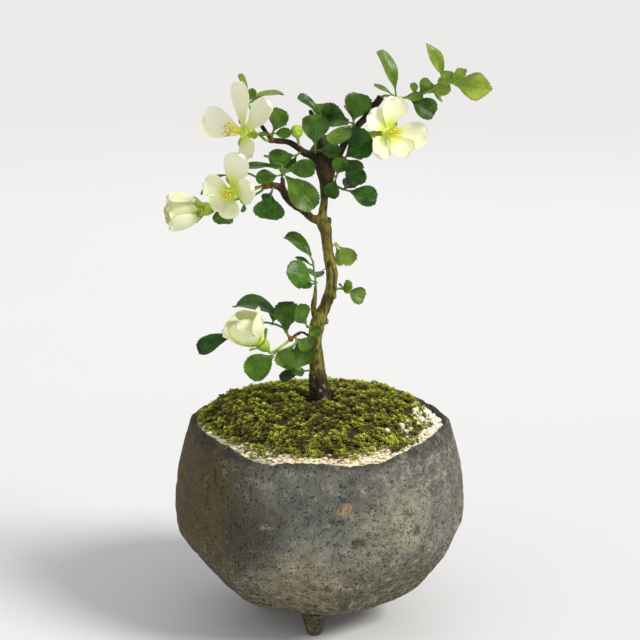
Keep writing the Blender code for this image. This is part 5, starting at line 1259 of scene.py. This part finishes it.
def shoot_shape(leaves, draw):
    """One moss shoot seen from above: pointed leaves that spread like a star. Marks hold the rise, which the
    moss material paints darker low in the shoot and under its leaves as painted shade.
    """
    points, faces, rise = [], [], []
    up = np.array([0.0, 0.0, 1.0])
    for index in range(leaves):
        turn = SHOOT_TURN * index + draw.uniform(-0.25, 0.25)
        tier = index / leaves
        lift = math.radians(12 + 62 * tier)
        reach = 1.0 - 0.42 * tier
        out = np.array([math.cos(turn), math.sin(turn), 0.0])
        half = np.array([-math.sin(turn), math.cos(turn), 0.0]) * (0.25 * (1 - 0.25 * tier))
        base = up * (0.15 + 0.5 * tier)
        middle = base + (out * math.cos(lift) + up * math.sin(lift)) * reach * 0.5
        tip = base + (out * math.cos(lift * 0.72) + up * math.sin(lift * 0.72)) * reach
        start = len(points)
        points += [base, middle - half + up * 0.05, middle + half + up * 0.05, tip, middle - up * 0.08]
        faces += [(start, start + 1, start + 4), (start, start + 4, start + 2),
                  (start + 1, start + 3, start + 4), (start + 4, start + 3, start + 2)]
        rise += [0.35 + 0.5 * tier, 0.6 + 0.3 * tier, 0.6 + 0.3 * tier, 1.0, 0.25 + 0.3 * tier]
    return np.array(points), faces, np.array(rise)


def make_moss():
    """A dark carpet, its near black painted shade between the shoots with some dead brown, and on it some
    thousands of small star-shaped shoots in tufts.
    """
    draw = random.Random(5)
    azimuth = around(CARPET_COLUMNS)
    broad = round_table(MOSS_EDGES, azimuth) - MOSS_HOLE
    rows = [ring_on(lambda x, y: moss_top(x, y)[0], MOSS_HOLE + broad * share, azimuth)
            for share in np.linspace(0, 1, CARPET_ROWS)]
    rows += [ring_on(lambda x, y: np.maximum(dome(x, y) - MOSS_THICKNESS, MOSS_FLOOR),
                     MOSS_HOLE + broad * share, azimuth) for share in (1.0, 0.5, 0.0)]
    points = np.vstack(rows)
    top = np.arange(len(points)) < CARPET_COLUMNS * CARPET_ROWS
    points[:, 2] += top * (0.75 * lumps(points, 3.3, 30) + 0.4 * lumps(points, 1.3, 31) - 0.35)
    heap = Heap()
    # The carpet's low rise gives it the near-black base: painted shade in the gaps between the shoots, with a
    # little dead brown.
    heap.add(points, flipped(ring_faces(len(rows), CARPET_COLUMNS)), (0.20, 0.3, 0.30, 1))
    carpet = heap.piece("moss_carpet", moss_look(), "moss", "moss")

    shapes = [shoot_shape(draw.choice(SHOOT_LEAVES), draw) for _ in range(SHOOT_KINDS)]
    heap = Heap()
    reach = int(MOSS_REACH / TUFT_PITCH)
    places = [((i + 0.5 * (j % 2) + draw.uniform(-0.4, 0.4)) * TUFT_PITCH,
               (j * 0.87 + draw.uniform(-0.4, 0.4)) * TUFT_PITCH)
              for j in range(-reach, reach + 1) for i in range(-reach, reach + 1)]
    for _ in range(EDGE_TUFTS):
        turn = draw.uniform(0, 2 * math.pi)
        radius = float(round_table(MOSS_EDGES, math.degrees(turn))) + draw.uniform(*EDGE_BAND)
        places.append((radius * math.cos(turn), radius * math.sin(turn)))
    for x, y in places:
        height, edge = moss_top(x, y)
        radius = math.hypot(x, y)
        turn = math.degrees(math.atan2(y, x)) % 360
        spot = Vector((x, y, 0.0))
        clump, fine, ragged, patch = (noise.noise(spot / wavelength + Vector(offset))
                                      for wavelength, offset in MOSS_NOISE)
        front = smoothstep(62.0, 40.0, abs((turn - 268 + 180) % 360 - 180))
        left = smoothstep(60.0, 30.0, abs(turn - 160))
        past = 0.5 + 1.3 * front + 1.7 * left + float(round_table(MOSS_OVERHANG, turn)) + 1.8 * ragged
        hole = MOSS_HOLE - 1.4 + 2.4 * max(0.0, fine + 0.3)
        sparse = clump + 0.6 * fine < -0.40 and radius < edge - 4.5
        if not hole < radius < edge + past or sparse:
            continue
        height = max(height, float(bed_top(radius, np.array(turn))[0]) - 0.2)
        size = draw.uniform(*SHOOT_SIZES) * (1.0 + 0.3 * clump)
        rise = 1.4 * clump + 0.7 * fine + draw.uniform(-0.4, 0.6) - 0.15
        tone = clamp(0.46 - 0.12 * front + 0.7 * clump + 0.4 * fine + draw.uniform(-0.5, 0.5))
        brown = 0.14 + 0.10 * front + 1.8 * max(0.0, patch) - 0.8 * clump
        brown = clamp(brown + draw.uniform(-0.45, 0.40)) * BROWN_SHARE
        shape, shoot_faces, up_share = draw.choice(shapes)
        outward = min(0.75, max(0.0, (radius - 22) / 26))
        lean = Matrix.Rotation(outward + draw.uniform(-0.3, 0.3), 3, unit((-y, x, 0.001)))
        spin = Matrix.Rotation(draw.uniform(0, FULL_TURN), 3, "Z")
        lift = left * max(0.0, radius - edge + 1.0) * 0.45
        placed = shape @ np.array(lean @ spin).T * size + np.array([x, y, height + rise + lift])
        heap.add(placed, shoot_faces, [up_share, tone, brown, 1.0])
    return carpet, heap.piece("moss_shoots", moss_look(), "moss", "moss")


# Wood.

def make_wood():
    """Trunk, branches, twigs and knots as one skin, with bark relief, cut ends and bud scales."""
    heap = Heap()
    for limb in LIMBS.values():
        run = smooth_run(limb, LIMB_STEPS)
        sides = THICK_LIMB_SIDES if limb[0][3] > THICK_LIMB else THIN_LIMB_SIDES
        heap.add(*tube(run[:, :3], run[:, 3], sides))
    knob, knob_faces = ball(3)
    for number, (x, y, z, radius) in enumerate(KNOTS):
        bumps = 1 + 0.22 * lumps(knob * 1.5, 1.0, 40 + number)
        heap.add(knob * bumps[:, None] * radius * 0.97 + np.array([x, y, z]), knob_faces)
    mesh = bpy.data.meshes.new("limbs")
    mesh.from_pydata(np.vstack(heap.points).tolist(), [], heap.faces)
    limbs = in_scene("limbs", mesh)
    remesh = limbs.modifiers.new("skin", "REMESH")
    remesh.mode = "VOXEL"
    remesh.voxel_size = WOOD_CELL
    skin = bpy.data.meshes.new_from_object(limbs.evaluated_get(bpy.context.evaluated_depsgraph_get()))
    bpy.data.objects.remove(limbs)
    points = np.array([tuple(vert.co) for vert in skin.vertices])
    faces = [tuple(face.vertices) for face in skin.polygons]
    edges = np.array([tuple(edge.vertices) for edge in skin.edges])
    bpy.data.meshes.remove(skin)

    # Each point moves toward the middle of its neighbours, which rounds off the joints.
    links = np.bincount(edges.ravel(), minlength=len(points))[:, None]
    for _ in range(SMOOTHINGS):
        total = np.zeros_like(points)
        np.add.at(total, edges[:, 0], points[edges[:, 1]])
        np.add.at(total, edges[:, 1], points[edges[:, 0]])
        points = points * 0.45 + total / links * 0.55
    normals = point_normals(points, [face for face in faces if len(face) == 4])
    ridges = lumps(points * np.array([1.0, 1.0, 0.42]), 1.1, 50)
    relief = 0.30 * lumps(points, 3.6, 51) + 0.19 * ridges + 0.13 * lumps(points, 0.8, 52)
    thickness = smoothstep(170.0, 110.0, points[:, 2]) * 0.55 + 0.45
    foot = smoothstep(94.0, 84.0, points[:, 2])
    folds = 0.45 * lumps(points * np.array([1.0, 1.0, 0.3]), 1.5, 54) - 0.1
    slim = smoothstep(92.0, 100.0, points[:, 2]) * smoothstep(152.0, 146.0, points[:, 2])
    relief = relief * thickness + foot * folds - TRUNK_SLIMMER * slim
    points = points + normals * relief[:, None]

    def near(spot, far, close):
        return smoothstep(far, close, np.linalg.norm(points - np.array(spot), axis=1))

    cut = sum(near(end, 1.0, 0.75) for end in CUT_ENDS)
    scales = sum(near(spot, radius * 1.5, radius * 0.7) for *spot, radius in BUD_SCALES)
    x, _, z = points.T
    # How dark the limb is: painted shade high in the crown under the leaves and on the limbs to the left,
    # away from the light; the limb is also darker toward the foot.
    dark = np.maximum(smoothstep(143.0, 153.0, z), smoothstep(93.0, 84.0, z))
    dark = np.maximum(dark, smoothstep(2.0, -5.0, x) * smoothstep(128.0, 134.0, z) * 0.9)
    dark = np.maximum(dark, smoothstep(-3.4, -5.0, x) * 0.85)
    dark = np.clip(dark + 0.25 * lumps(points, 3.0, 53), 0, 1)
    heap = Heap()
    # Painted shade in the grooves of the bark relief, where the ridges' noise is low.
    deep = smoothstep(0.05, -0.5, ridges) * 0.7
    heap.add(points, faces, [np.clip(cut, 0, 1), np.clip(scales, 0, 1), deep, dark])
    return heap.piece("wood_detail", bark_look(), "bark", "wood")


# Leaves.

def leaf_half_width(part, pointed):
    """Half width of a leaf's blade, as a share of its widest: wedge-shaped base, round or pointed end."""
    swell = np.sin(np.clip(part / LEAF_WIDEST, 0, 1) * np.pi / 2) ** BLADE_BASE_POWER
    rest = np.clip((part - LEAF_WIDEST) / (1 - LEAF_WIDEST), 0, 1)
    end = 1 - rest ** 1.3 if pointed else np.sqrt(np.clip(1 - rest ** LEAF_TIP_POWER, 0, 1))
    return np.where(part < LEAF_WIDEST, LEAF_BASE_WIDTH + (1 - LEAF_BASE_WIDTH) * swell, end)


def bent(length, bend, share, across, height):
    """A point of a leaf that bends down evenly: at a share of its length, and at a height over its middle."""
    angle = bend * share
    return (math.sin(angle) / bend * length + math.sin(angle) * height, across,
            -(1 - math.cos(angle)) / bend * length + math.cos(angle) * height)


def fine_leaf(length, width, bend, draw, pointed=False):
    """A leaf along x from the origin: stalk, blade with small forward teeth, midrib and waved edge."""
    half = width / 2
    bend = math.radians(max(bend, 1.0))
    teeth = max(4, round(length * 0.78 / (0.95 if width > TOOTHED_WIDTH else 1.5)))
    # Stops along the blade, and how far its edge stands out and reaches forward there.
    rows = [(0.0, 0.0, 0.0), (0.05, 0.0, 0.0), (0.11, 0.0, 0.0), (0.17, 0.0, 0.0)]
    span = TEETH_SPAN / teeth
    for tooth in range(teeth):
        for phase, reach, ahead in ((0.0, 0.004, 0.0), (0.42, 0.036, 0.0), (0.80, 0.052, 0.22)):
            out = reach * width * draw.uniform(0.8, 1.15)
            rows.append((TEETH_FROM + span * (tooth + phase), out, ahead * span))
    stops, out, forward = np.array(rows + [(0.985, 0.0, 0.0), (1.0, 0.0, 0.0)]).T
    smooth_half = half * leaf_half_width(stops, pointed)
    smooth_half[-1] = 0.04 * half
    edge_half = np.maximum(smooth_half + out * np.clip(smooth_half / (0.35 * half), 0, 1), 0.03 * half)
    phase_left, phase_right = draw.uniform(0, FULL_TURN), draw.uniform(0, FULL_TURN)
    columns = np.sin(np.linspace(-1, 1, LEAF_COLUMNS + 1) * math.pi / 2 * 0.86) / math.sin(math.pi / 2 * 0.86)
    columns[LEAF_COLUMNS // 2] = 0.0

    def surface(lift):
        rows = []
        for stop, inner, outer, ahead in zip(stops, smooth_half, edge_half, forward):
            for column in columns:
                at_edge = abs(column) > 0.999
                across = column * (outer if at_edge else inner)
                part = stop + (ahead if at_edge else 0.0)
                fold = BLADE_FOLD * (math.sqrt(across ** 2 + 0.09) - 0.3)
                phase = phase_left if column < 0 else phase_right
                wave = 0.13 * half * abs(column) ** 2 * math.sin(7.0 * part + phase)
                groove = -0.10 * math.exp(-(across / 0.28) ** 2) * (1 - part)
                share = STALK_SHARE + (1 - STALK_SHARE) * part
                rows.append(bent(length, bend, share, across, fold + wave + groove + lift))
        return np.array(rows)

    points, faces, along, across = thin_sheet(surface, BLADE_HALF_THICKNESS, stops, columns)
    return points, faces, along, across, np.repeat([1.0, 0.0], len(points) // 2)


def stalk_run(length, bend, reach):
    """Points of a leaf's stalk and midrib, under the blade, from the origin to a share of its length."""
    bend = math.radians(max(bend, 1.0))
    return [bent(length, bend, share, 0.0, -0.16 * smoothstep(0.1, 0.25, share))
            for share in np.linspace(-0.06, reach, STALK_POINTS)]


def leaf_matrix(start, heading, lean, turn):
    """Puts a leaf at its start, pointing by heading and lean, its face turned about the midrib."""
    heading, lean = math.radians(heading), math.radians(lean)
    along = Vector((math.cos(heading) * math.cos(lean), -math.sin(lean),
                    math.sin(heading) * math.cos(lean)))
    facing = Vector(LEAF_FACING)
    up = (facing - along * facing.dot(along)).normalized()
    up = Matrix.Rotation(math.radians(turn), 3, along) @ up
    return put_along(start, along, up.cross(along), up)


def spring(name, bark):
    """Start and direction of a stem: where the solid model starts it, just clear of the bark."""
    root, direction = Vector(SPRINGS[name][0]), unit(SPRINGS[name][1])
    side = direction.orthogonal().normalized()
    other = direction.cross(side)
    offsets = [Vector((0, 0, 0))]
    offsets += [(side * math.cos(angle) + other * math.sin(angle)) * STEM_RADIUS
                for angle in [math.pi * k / 3 for k in range(6)]]
    reach = 0.0
    for offset in offsets:
        hit = bark.ray_cast(root + offset + direction * SPRING_RAY, -direction, SPRING_RAY)
        if hit[0] is not None:
            reach = max(reach, SPRING_RAY - hit[3])
    return root + direction * (reach + GAP), direction


def make_spray(name, bark, material):
    """A short green stem with its leaves, each as the solid model has it."""
    extra, leaves = SPRAYS[name]
    draw = random.Random(name)
    start, direction = spring(name, bark)
    first = start + direction * STEM_LENGTH
    run = [start, first] + [first + Vector(point) for point in extra]
    if extra:
        steps = 2 if len(extra) > 2 else 1
        bent_run = [Vector(point) for point in smooth_run(run[1:], steps)[1:]]
        run = [start, start + direction * STEM_LENGTH / 2] + bent_run
    fine = smooth_run([start - direction * IN_THE_BARK] + run, 4)
    share = np.linspace(0, 1, len(fine))
    radii = STEM_RADIUS * 0.86 * (1 - STEM_TAPER * share) * (1 + 0.45 * smoothstep(0.16, 0.0, share))
    heap = Heap()
    young = YOUNG.get(name, 0.12)
    heap.add(*tube(fine, radii, STEM_SIDES), (0.3, 0.5, min(1.0, young + 0.35), 0.5))
    longer, broader = LEAF_FULLER.get(name, (1.0, 1.08))
    for number, (place, heading, lean, length, width, turn, bend) in enumerate(leaves):
        spot = (LEAVES_FROM + (LEAVES_TO - LEAVES_FROM) * place) * (len(run) - 1)
        low = min(int(spot), len(run) - 2)
        matrix = leaf_matrix(run[low].lerp(run[low + 1], spot - low), heading, lean, turn)
        length, width = length * longer, width * broader
        pointed = (name, number) in POINTED_LEAVES
        points, faces, along, across, upper = fine_leaf(length, width, bend, draw, pointed)
        tone = clamp(YOUNG_LEAVES.get((name, number), young) + draw.uniform(*TONE_SPREAD))
        heap.add(moved(points, matrix), faces, [along, across, tone, upper])
        stalk_radii = np.linspace(*STALK_RADII, STALK_POINTS)
        stalk, stalk_faces = tube(stalk_run(length, bend, MIDRIB_REACH), stalk_radii, STALK_SIDES)
        heap.add(moved(stalk, matrix), stalk_faces, (0.2, 0.5, min(1.0, tone + 0.25), 0.4))
    for share, heading, lean, length, width in FRILLS.get(name, ()):
        root = Vector(fine[round(share * (len(fine) - 1))])
        points, faces, along, across, upper = fine_leaf(length, width, 70.0, draw)
        marks = [along, across, draw.uniform(0.7, 0.95), upper]
        heap.add(moved(points, leaf_matrix(root, heading, lean, draw.uniform(-50, 50))), faces, marks)
    return heap.piece(name + "_detail", material, "leaf", name)


# Blooms.

def bloom_frame(bloom):
    """The bloom's own frame: z out along its axis and y as near to upright as it can be."""
    axis = unit(bloom["axis"])
    up = unit(Vector((0, 0, 1)) - axis * axis.z)
    return put_along(bloom["at"], up.cross(axis), up, axis)


def spread_matrix(radius, height, azimuth, opening):
    """Places a petal or sepal on a bloom: out at an azimuth, opened from the axis, hollow face in."""
    angle, tilt = math.radians(azimuth), math.radians(opening)
    out = Vector((math.cos(angle), math.sin(angle), 0))
    along = out * math.sin(tilt) + Vector((0, 0, math.cos(tilt)))
    up = Vector((0, 0, math.sin(tilt))) - out * math.cos(tilt)
    return put_along(out * radius + Vector((0, 0, height)), along, up.cross(along), up)


def fine_petal(length, width, draw, bulge=0.0):
    """A cupped, round petal along x from its narrow claw, its hollow face to z, with a waved edge."""
    stops = np.sin(np.linspace(0, 1, PETAL_ROWS) * math.pi / 2)
    columns = np.linspace(-1, 1, PETAL_COLUMNS + 1)
    swell = np.sin(np.clip(stops / PETAL_WIDEST, 0, 1) * np.pi / 2) ** 1.7
    rest = np.clip((stops - PETAL_WIDEST) / (1 - PETAL_WIDEST), 0, 1)
    breadth = np.where(stops < PETAL_WIDEST, PETAL_CLAW + (1 - PETAL_CLAW) * swell,
                       np.sqrt(np.clip(1 - rest ** 2.3, 0.0012, 1)))
    phase = draw.uniform(0, FULL_TURN)
    skew = draw.uniform(-0.05, 0.05)
    notch = draw.uniform(0.015, 0.05)

    def surface(lift):
        spots = []
        for stop, broad in zip(stops, breadth):
            slope = math.atan(2 * PETAL_RISE * stop)
            thin = lift * (1 - 0.55 * stop)
            lengthwise = length * (PETAL_RISE * stop ** 2 - bulge * math.sin(math.pi * stop ** 0.8))
            for column in columns:
                across = width / 2 * broad * column
                edge = column * column * smoothstep(0.15, 0.6, stop) + smoothstep(0.86, 1.0, stop)
                wave = 0.075 * width * edge * math.sin(3.4 * column + 4.2 * stop + phase)
                crease = 0.028 * width * math.exp(-(column / 0.22) ** 2) * stop
                rise = lengthwise + width * PETAL_CUP * broad * column ** 2 + wave - crease
                dip = notch * math.exp(-(across / (0.10 * width)) ** 2) * smoothstep(0.7, 1.0, stop)
                along = length * (stop - dip)
                spots.append((along - math.sin(slope) * thin, across + skew * along * stop,
                              rise + math.cos(slope) * thin))
        return np.array(spots)

    return thin_sheet(surface, PETAL_HALF_THICKNESS, stops, columns)


def make_petals(label, bloom, draw, matrix, material):
    """The petals of a bloom on its receptacle."""
    heap = Heap()
    points, faces = turned(DISC_PROFILE, RECEPTACLE_COLUMNS)
    faces.append(last_ring(len(DISC_PROFILE), RECEPTACLE_COLUMNS))
    heap.add(moved(points, matrix), faces, (0.0, 0.5, 0.6, 1))
    for azimuth, opening, length, width in bloom["petals"]:
        bulge = 0.17 * smoothstep(48.0, 30.0, opening)
        points, faces, along, across = fine_petal(length, width, draw, bulge)
        place = matrix @ spread_matrix(PETAL_ROOT - 0.5, 0.0, azimuth, opening)
        tone = draw.uniform(0.0, 0.3) + bloom["tone"]
        heap.add(moved(points, place), faces, [along, across, tone, 1.0])
    return heap.piece(label + "_petals_detail", material, "petal", label + "_petals")


def make_stamens(label, bloom, draw, matrix, material):
    """The stamens of a bloom: filaments that spread from a small boss, with an anther on each."""
    heap = Heap()
    points, faces = turned(BOSS_PROFILE, STAMEN_COLUMNS)
    heap.add(moved(points, matrix), faces)
    count, length, splay = bloom["stamens"]
    head, head_faces = ball(2)
    fine_count = count * 3 if count > 4 else count * 4
    for index in range(fine_count):
        turn = STAMEN_TURN * index
        tilt = math.radians(splay) * math.sqrt((index + 0.5) / fine_count)
        reach = length * draw.uniform(*FILAMENT_LENGTHS)
        cos, sin = math.cos(turn), math.sin(turn)
        direction = np.array([math.sin(tilt) * cos, math.sin(tilt) * sin, math.cos(tilt)])
        start = np.array([0.75 * cos * draw.random(), 0.75 * sin * draw.random(), 0.9])
        bow = np.array([cos, sin, 0.0]) * 0.06 * reach
        run = [start, start + direction * reach * 0.5 + bow, start + direction * reach * 0.94]
        filament, filament_faces = tube(smooth_run(run, 3), FILAMENT_RADII, FILAMENT_SIDES)
        heap.add(moved(filament, matrix), filament_faces)
        anther = head * np.array(ANTHER_SHAPE) @ turn_matrix(draw).T + (start + direction * reach)
        red = bloom.get("red anthers", 0.1) * draw.uniform(0.5, 1.4)
        heap.add(moved(anther, matrix), head_faces, (1.0, min(1.0, red), 0.0, 1))
    return heap.piece(label + "_stamens_detail", material, "stamen", label + "_stamens")


def make_calyx(label, bloom, draw, matrix, material, bark):
    """The calyx of a bloom, a sepal behind each gap between its petals, and the pedicel."""
    heap = Heap()
    cup, cup_faces = turned(smooth_run(CALYX_PROFILE, 6), CALYX_COLUMNS)
    heap.add(moved(cup, matrix), cup_faces + [tuple(range(CALYX_COLUMNS))], (0.0, CALYX_TONE, 0.0, 1))
    order = sorted(petal[0] % 360 for petal in bloom["petals"])
    opening = max(petal[1] for petal in bloom["petals"])
    opening = min(opening + SEPAL_MORE_OPEN, SEPAL_WIDEST_OPENING)
    for low, high in zip(order, order[1:] + [order[0] + 360]):
        place = matrix @ spread_matrix(SEPAL_ROOT[0] - 0.35, SEPAL_ROOT[1], (low + high) / 2, opening)
        points, faces, along, _ = fine_petal(SEPAL_LENGTH + 0.35, SEPAL_WIDTH * 1.08, draw)
        tone = min(1.0, CALYX_TONE + draw.uniform(0.0, 0.3))
        heap.add(moved(points, place), faces, [smoothstep(0.55, 1.0, along) * 0.55, tone, along, 1.0])
    start, direction = spring(label, bark)
    run = [start - direction * IN_THE_BARK, start, start + direction * PEDICEL_FIRST_STRETCH]
    run += [Vector(point) for point in bloom["pedicel"]]
    run += [matrix @ Vector((0, 0, height)) for height in PEDICEL_END_HEIGHTS]
    fine = smooth_run(run, 5)
    radii = np.full(len(fine), PEDICEL_RADIUS * 0.92)
    heap.add(*tube(fine, radii, PEDICEL_SIDES), (0.15, CALYX_TONE + 0.1, 0.0, 1))
    return heap.piece(label + "_calyx_detail", material, "calyx", label + "_calyx")


def make_bloom(name, bloom, bark, looks):
    """One bloom in its three pieces, drawn in this order."""
    matrix = bloom_frame(bloom)
    draw = random.Random(name)
    label = "bloom_" + name
    make_petals(label, bloom, draw, matrix, looks["petal"])
    make_stamens(label, bloom, draw, matrix, looks["stamen"])
    make_calyx(label, bloom, draw, matrix, looks["calyx"], bark)


def make_bud(bark, looks):
    """The round green flower bud: petals rolled tight, the tips of the calyx about its foot."""
    start, direction = spring("flower_bud", bark)
    place = Vector(BUD_PLACE)
    axis = (place - start).normalized()
    matrix = Matrix.Translation(place) @ axis.to_track_quat("Z", "Y").to_matrix().to_4x4()
    heap = Heap()
    points, faces = ball(4)
    angle = np.arctan2(points[:, 1], points[:, 0])
    level = points[:, 2]
    seam = np.abs(np.sin(1.5 * angle + 2.2 * level))
    groove = 1 - 0.10 * np.exp(-(seam / 0.16) ** 2) * smoothstep(-0.5, 0.5, level)
    rounded = points * groove[:, None] * BUD_RADIUS * np.array([1, 1, BUD_LENGTHENED])
    heap.add(moved(rounded, matrix), faces, [0.0, np.clip(0.35 * (1 - level), 0, 1) * 0.6, level, 1.0])
    draw = random.Random("flower_bud")
    tilt = Matrix.Rotation(math.radians(BUD_SEPAL_TILT), 4, "Y")
    for index in range(BUD_SEPALS):
        spread = Matrix.Rotation(math.radians(360 / BUD_SEPALS * index), 4, "Z")
        spread = spread @ Matrix.Translation((0.9, 0, -BUD_RADIUS))
        sepal, sepal_faces, along, _ = fine_petal(*BUD_SEPAL_SIZE, draw)
        heap.add(moved(sepal, matrix @ spread @ tilt), sepal_faces, [along * 0.4, 0.45, along, 1.0])
    run = [start - direction * IN_THE_BARK, start, start + direction * BUD_RADIUS / 2,
           place - axis * BUD_RADIUS, place]
    radii = smooth_run([[radius] for radius in BUD_STALK_RADII], 5)[:, 0]
    heap.add(*tube(smooth_run(run, 5), radii, PEDICEL_SIDES), (0.1, 0.3, 0.0, 1))
    return heap.piece("flower_bud_detail", looks["calyx"], "calyx", "flower_bud")


# Room.

def make_room():
    """A pale plain floor, soft light from the upper right, and the camera at the photograph's angle."""
    mesh = bpy.data.meshes.new("floor")
    corners = [(-1, -1), (1, -1), (1, 1), (-1, 1)]
    mesh.from_pydata([(x * FLOOR_REACH, y * FLOOR_REACH, 0) for x, y in corners], [], [(0, 1, 2, 3)])
    floor = in_scene("floor", mesh)
    look = Look("floor", Roughness=0.6)
    look.colour = look.mix(look.noise(9.0, 3.0, 0.5), *FLOOR_TONES)
    mesh.materials.append(look.finish())

    world = bpy.data.worlds.new("studio")
    world.use_nodes = True
    background = world.node_tree.nodes["Background"]
    background.inputs["Color"].default_value = WORLD_COLOUR
    background.inputs["Strength"].default_value = WORLD_STRENGTH
    bpy.context.scene.world = world
    bpy.context.scene.view_settings.view_transform = "Standard"
    for name, kind, place, spread, strength, colour in LIGHTS:
        lamp = bpy.data.lights.new(name, kind)
        if kind == "SUN":
            lamp.angle = math.radians(spread)
        else:
            lamp.size = spread
        lamp.energy = strength
        lamp.color = colour
        light = in_scene(name, lamp)
        light.location = place
        light.rotation_euler = (Vector(LIT_PLACE) - Vector(place)).to_track_quat("-Z", "Y").to_euler()

    lens = bpy.data.cameras.new("camera")
    lens.lens = CAMERA_LENS
    lens.sensor_width = CAMERA_FILM
    lens.clip_start = CAMERA_NEAREST
    camera = in_scene("camera", lens)
    camera.location = (np.array(CAMERA_PLACE) + SHIFT) * MM
    camera.rotation_euler = (math.radians(90 - CAMERA_PITCH), 0.0, 0.0)
    bpy.context.scene.camera = camera


def main():
    """Builds every piece, and the floor, light and camera."""
    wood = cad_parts["wood"]
    points = [(np.array(vert.co) / MM - SHIFT).tolist() for vert in wood.data.vertices]
    bark = BVHTree.FromPolygons(points, [tuple(face.vertices) for face in wood.data.polygons])
    looks = {"petal": petal_look(), "stamen": stamen_look(), "calyx": calyx_look(), "leaf": leaf_look()}
    for make in (make_pot, make_net, make_soil, make_grit, make_moss, make_wood):
        make()
    for name, bloom in BLOOMS.items():
        make_bloom(name, bloom, bark, looks)
    make_bud(bark, looks)
    for name in SPRAYS:
        make_spray(name, bark, looks["leaf"])
    make_room()


main()
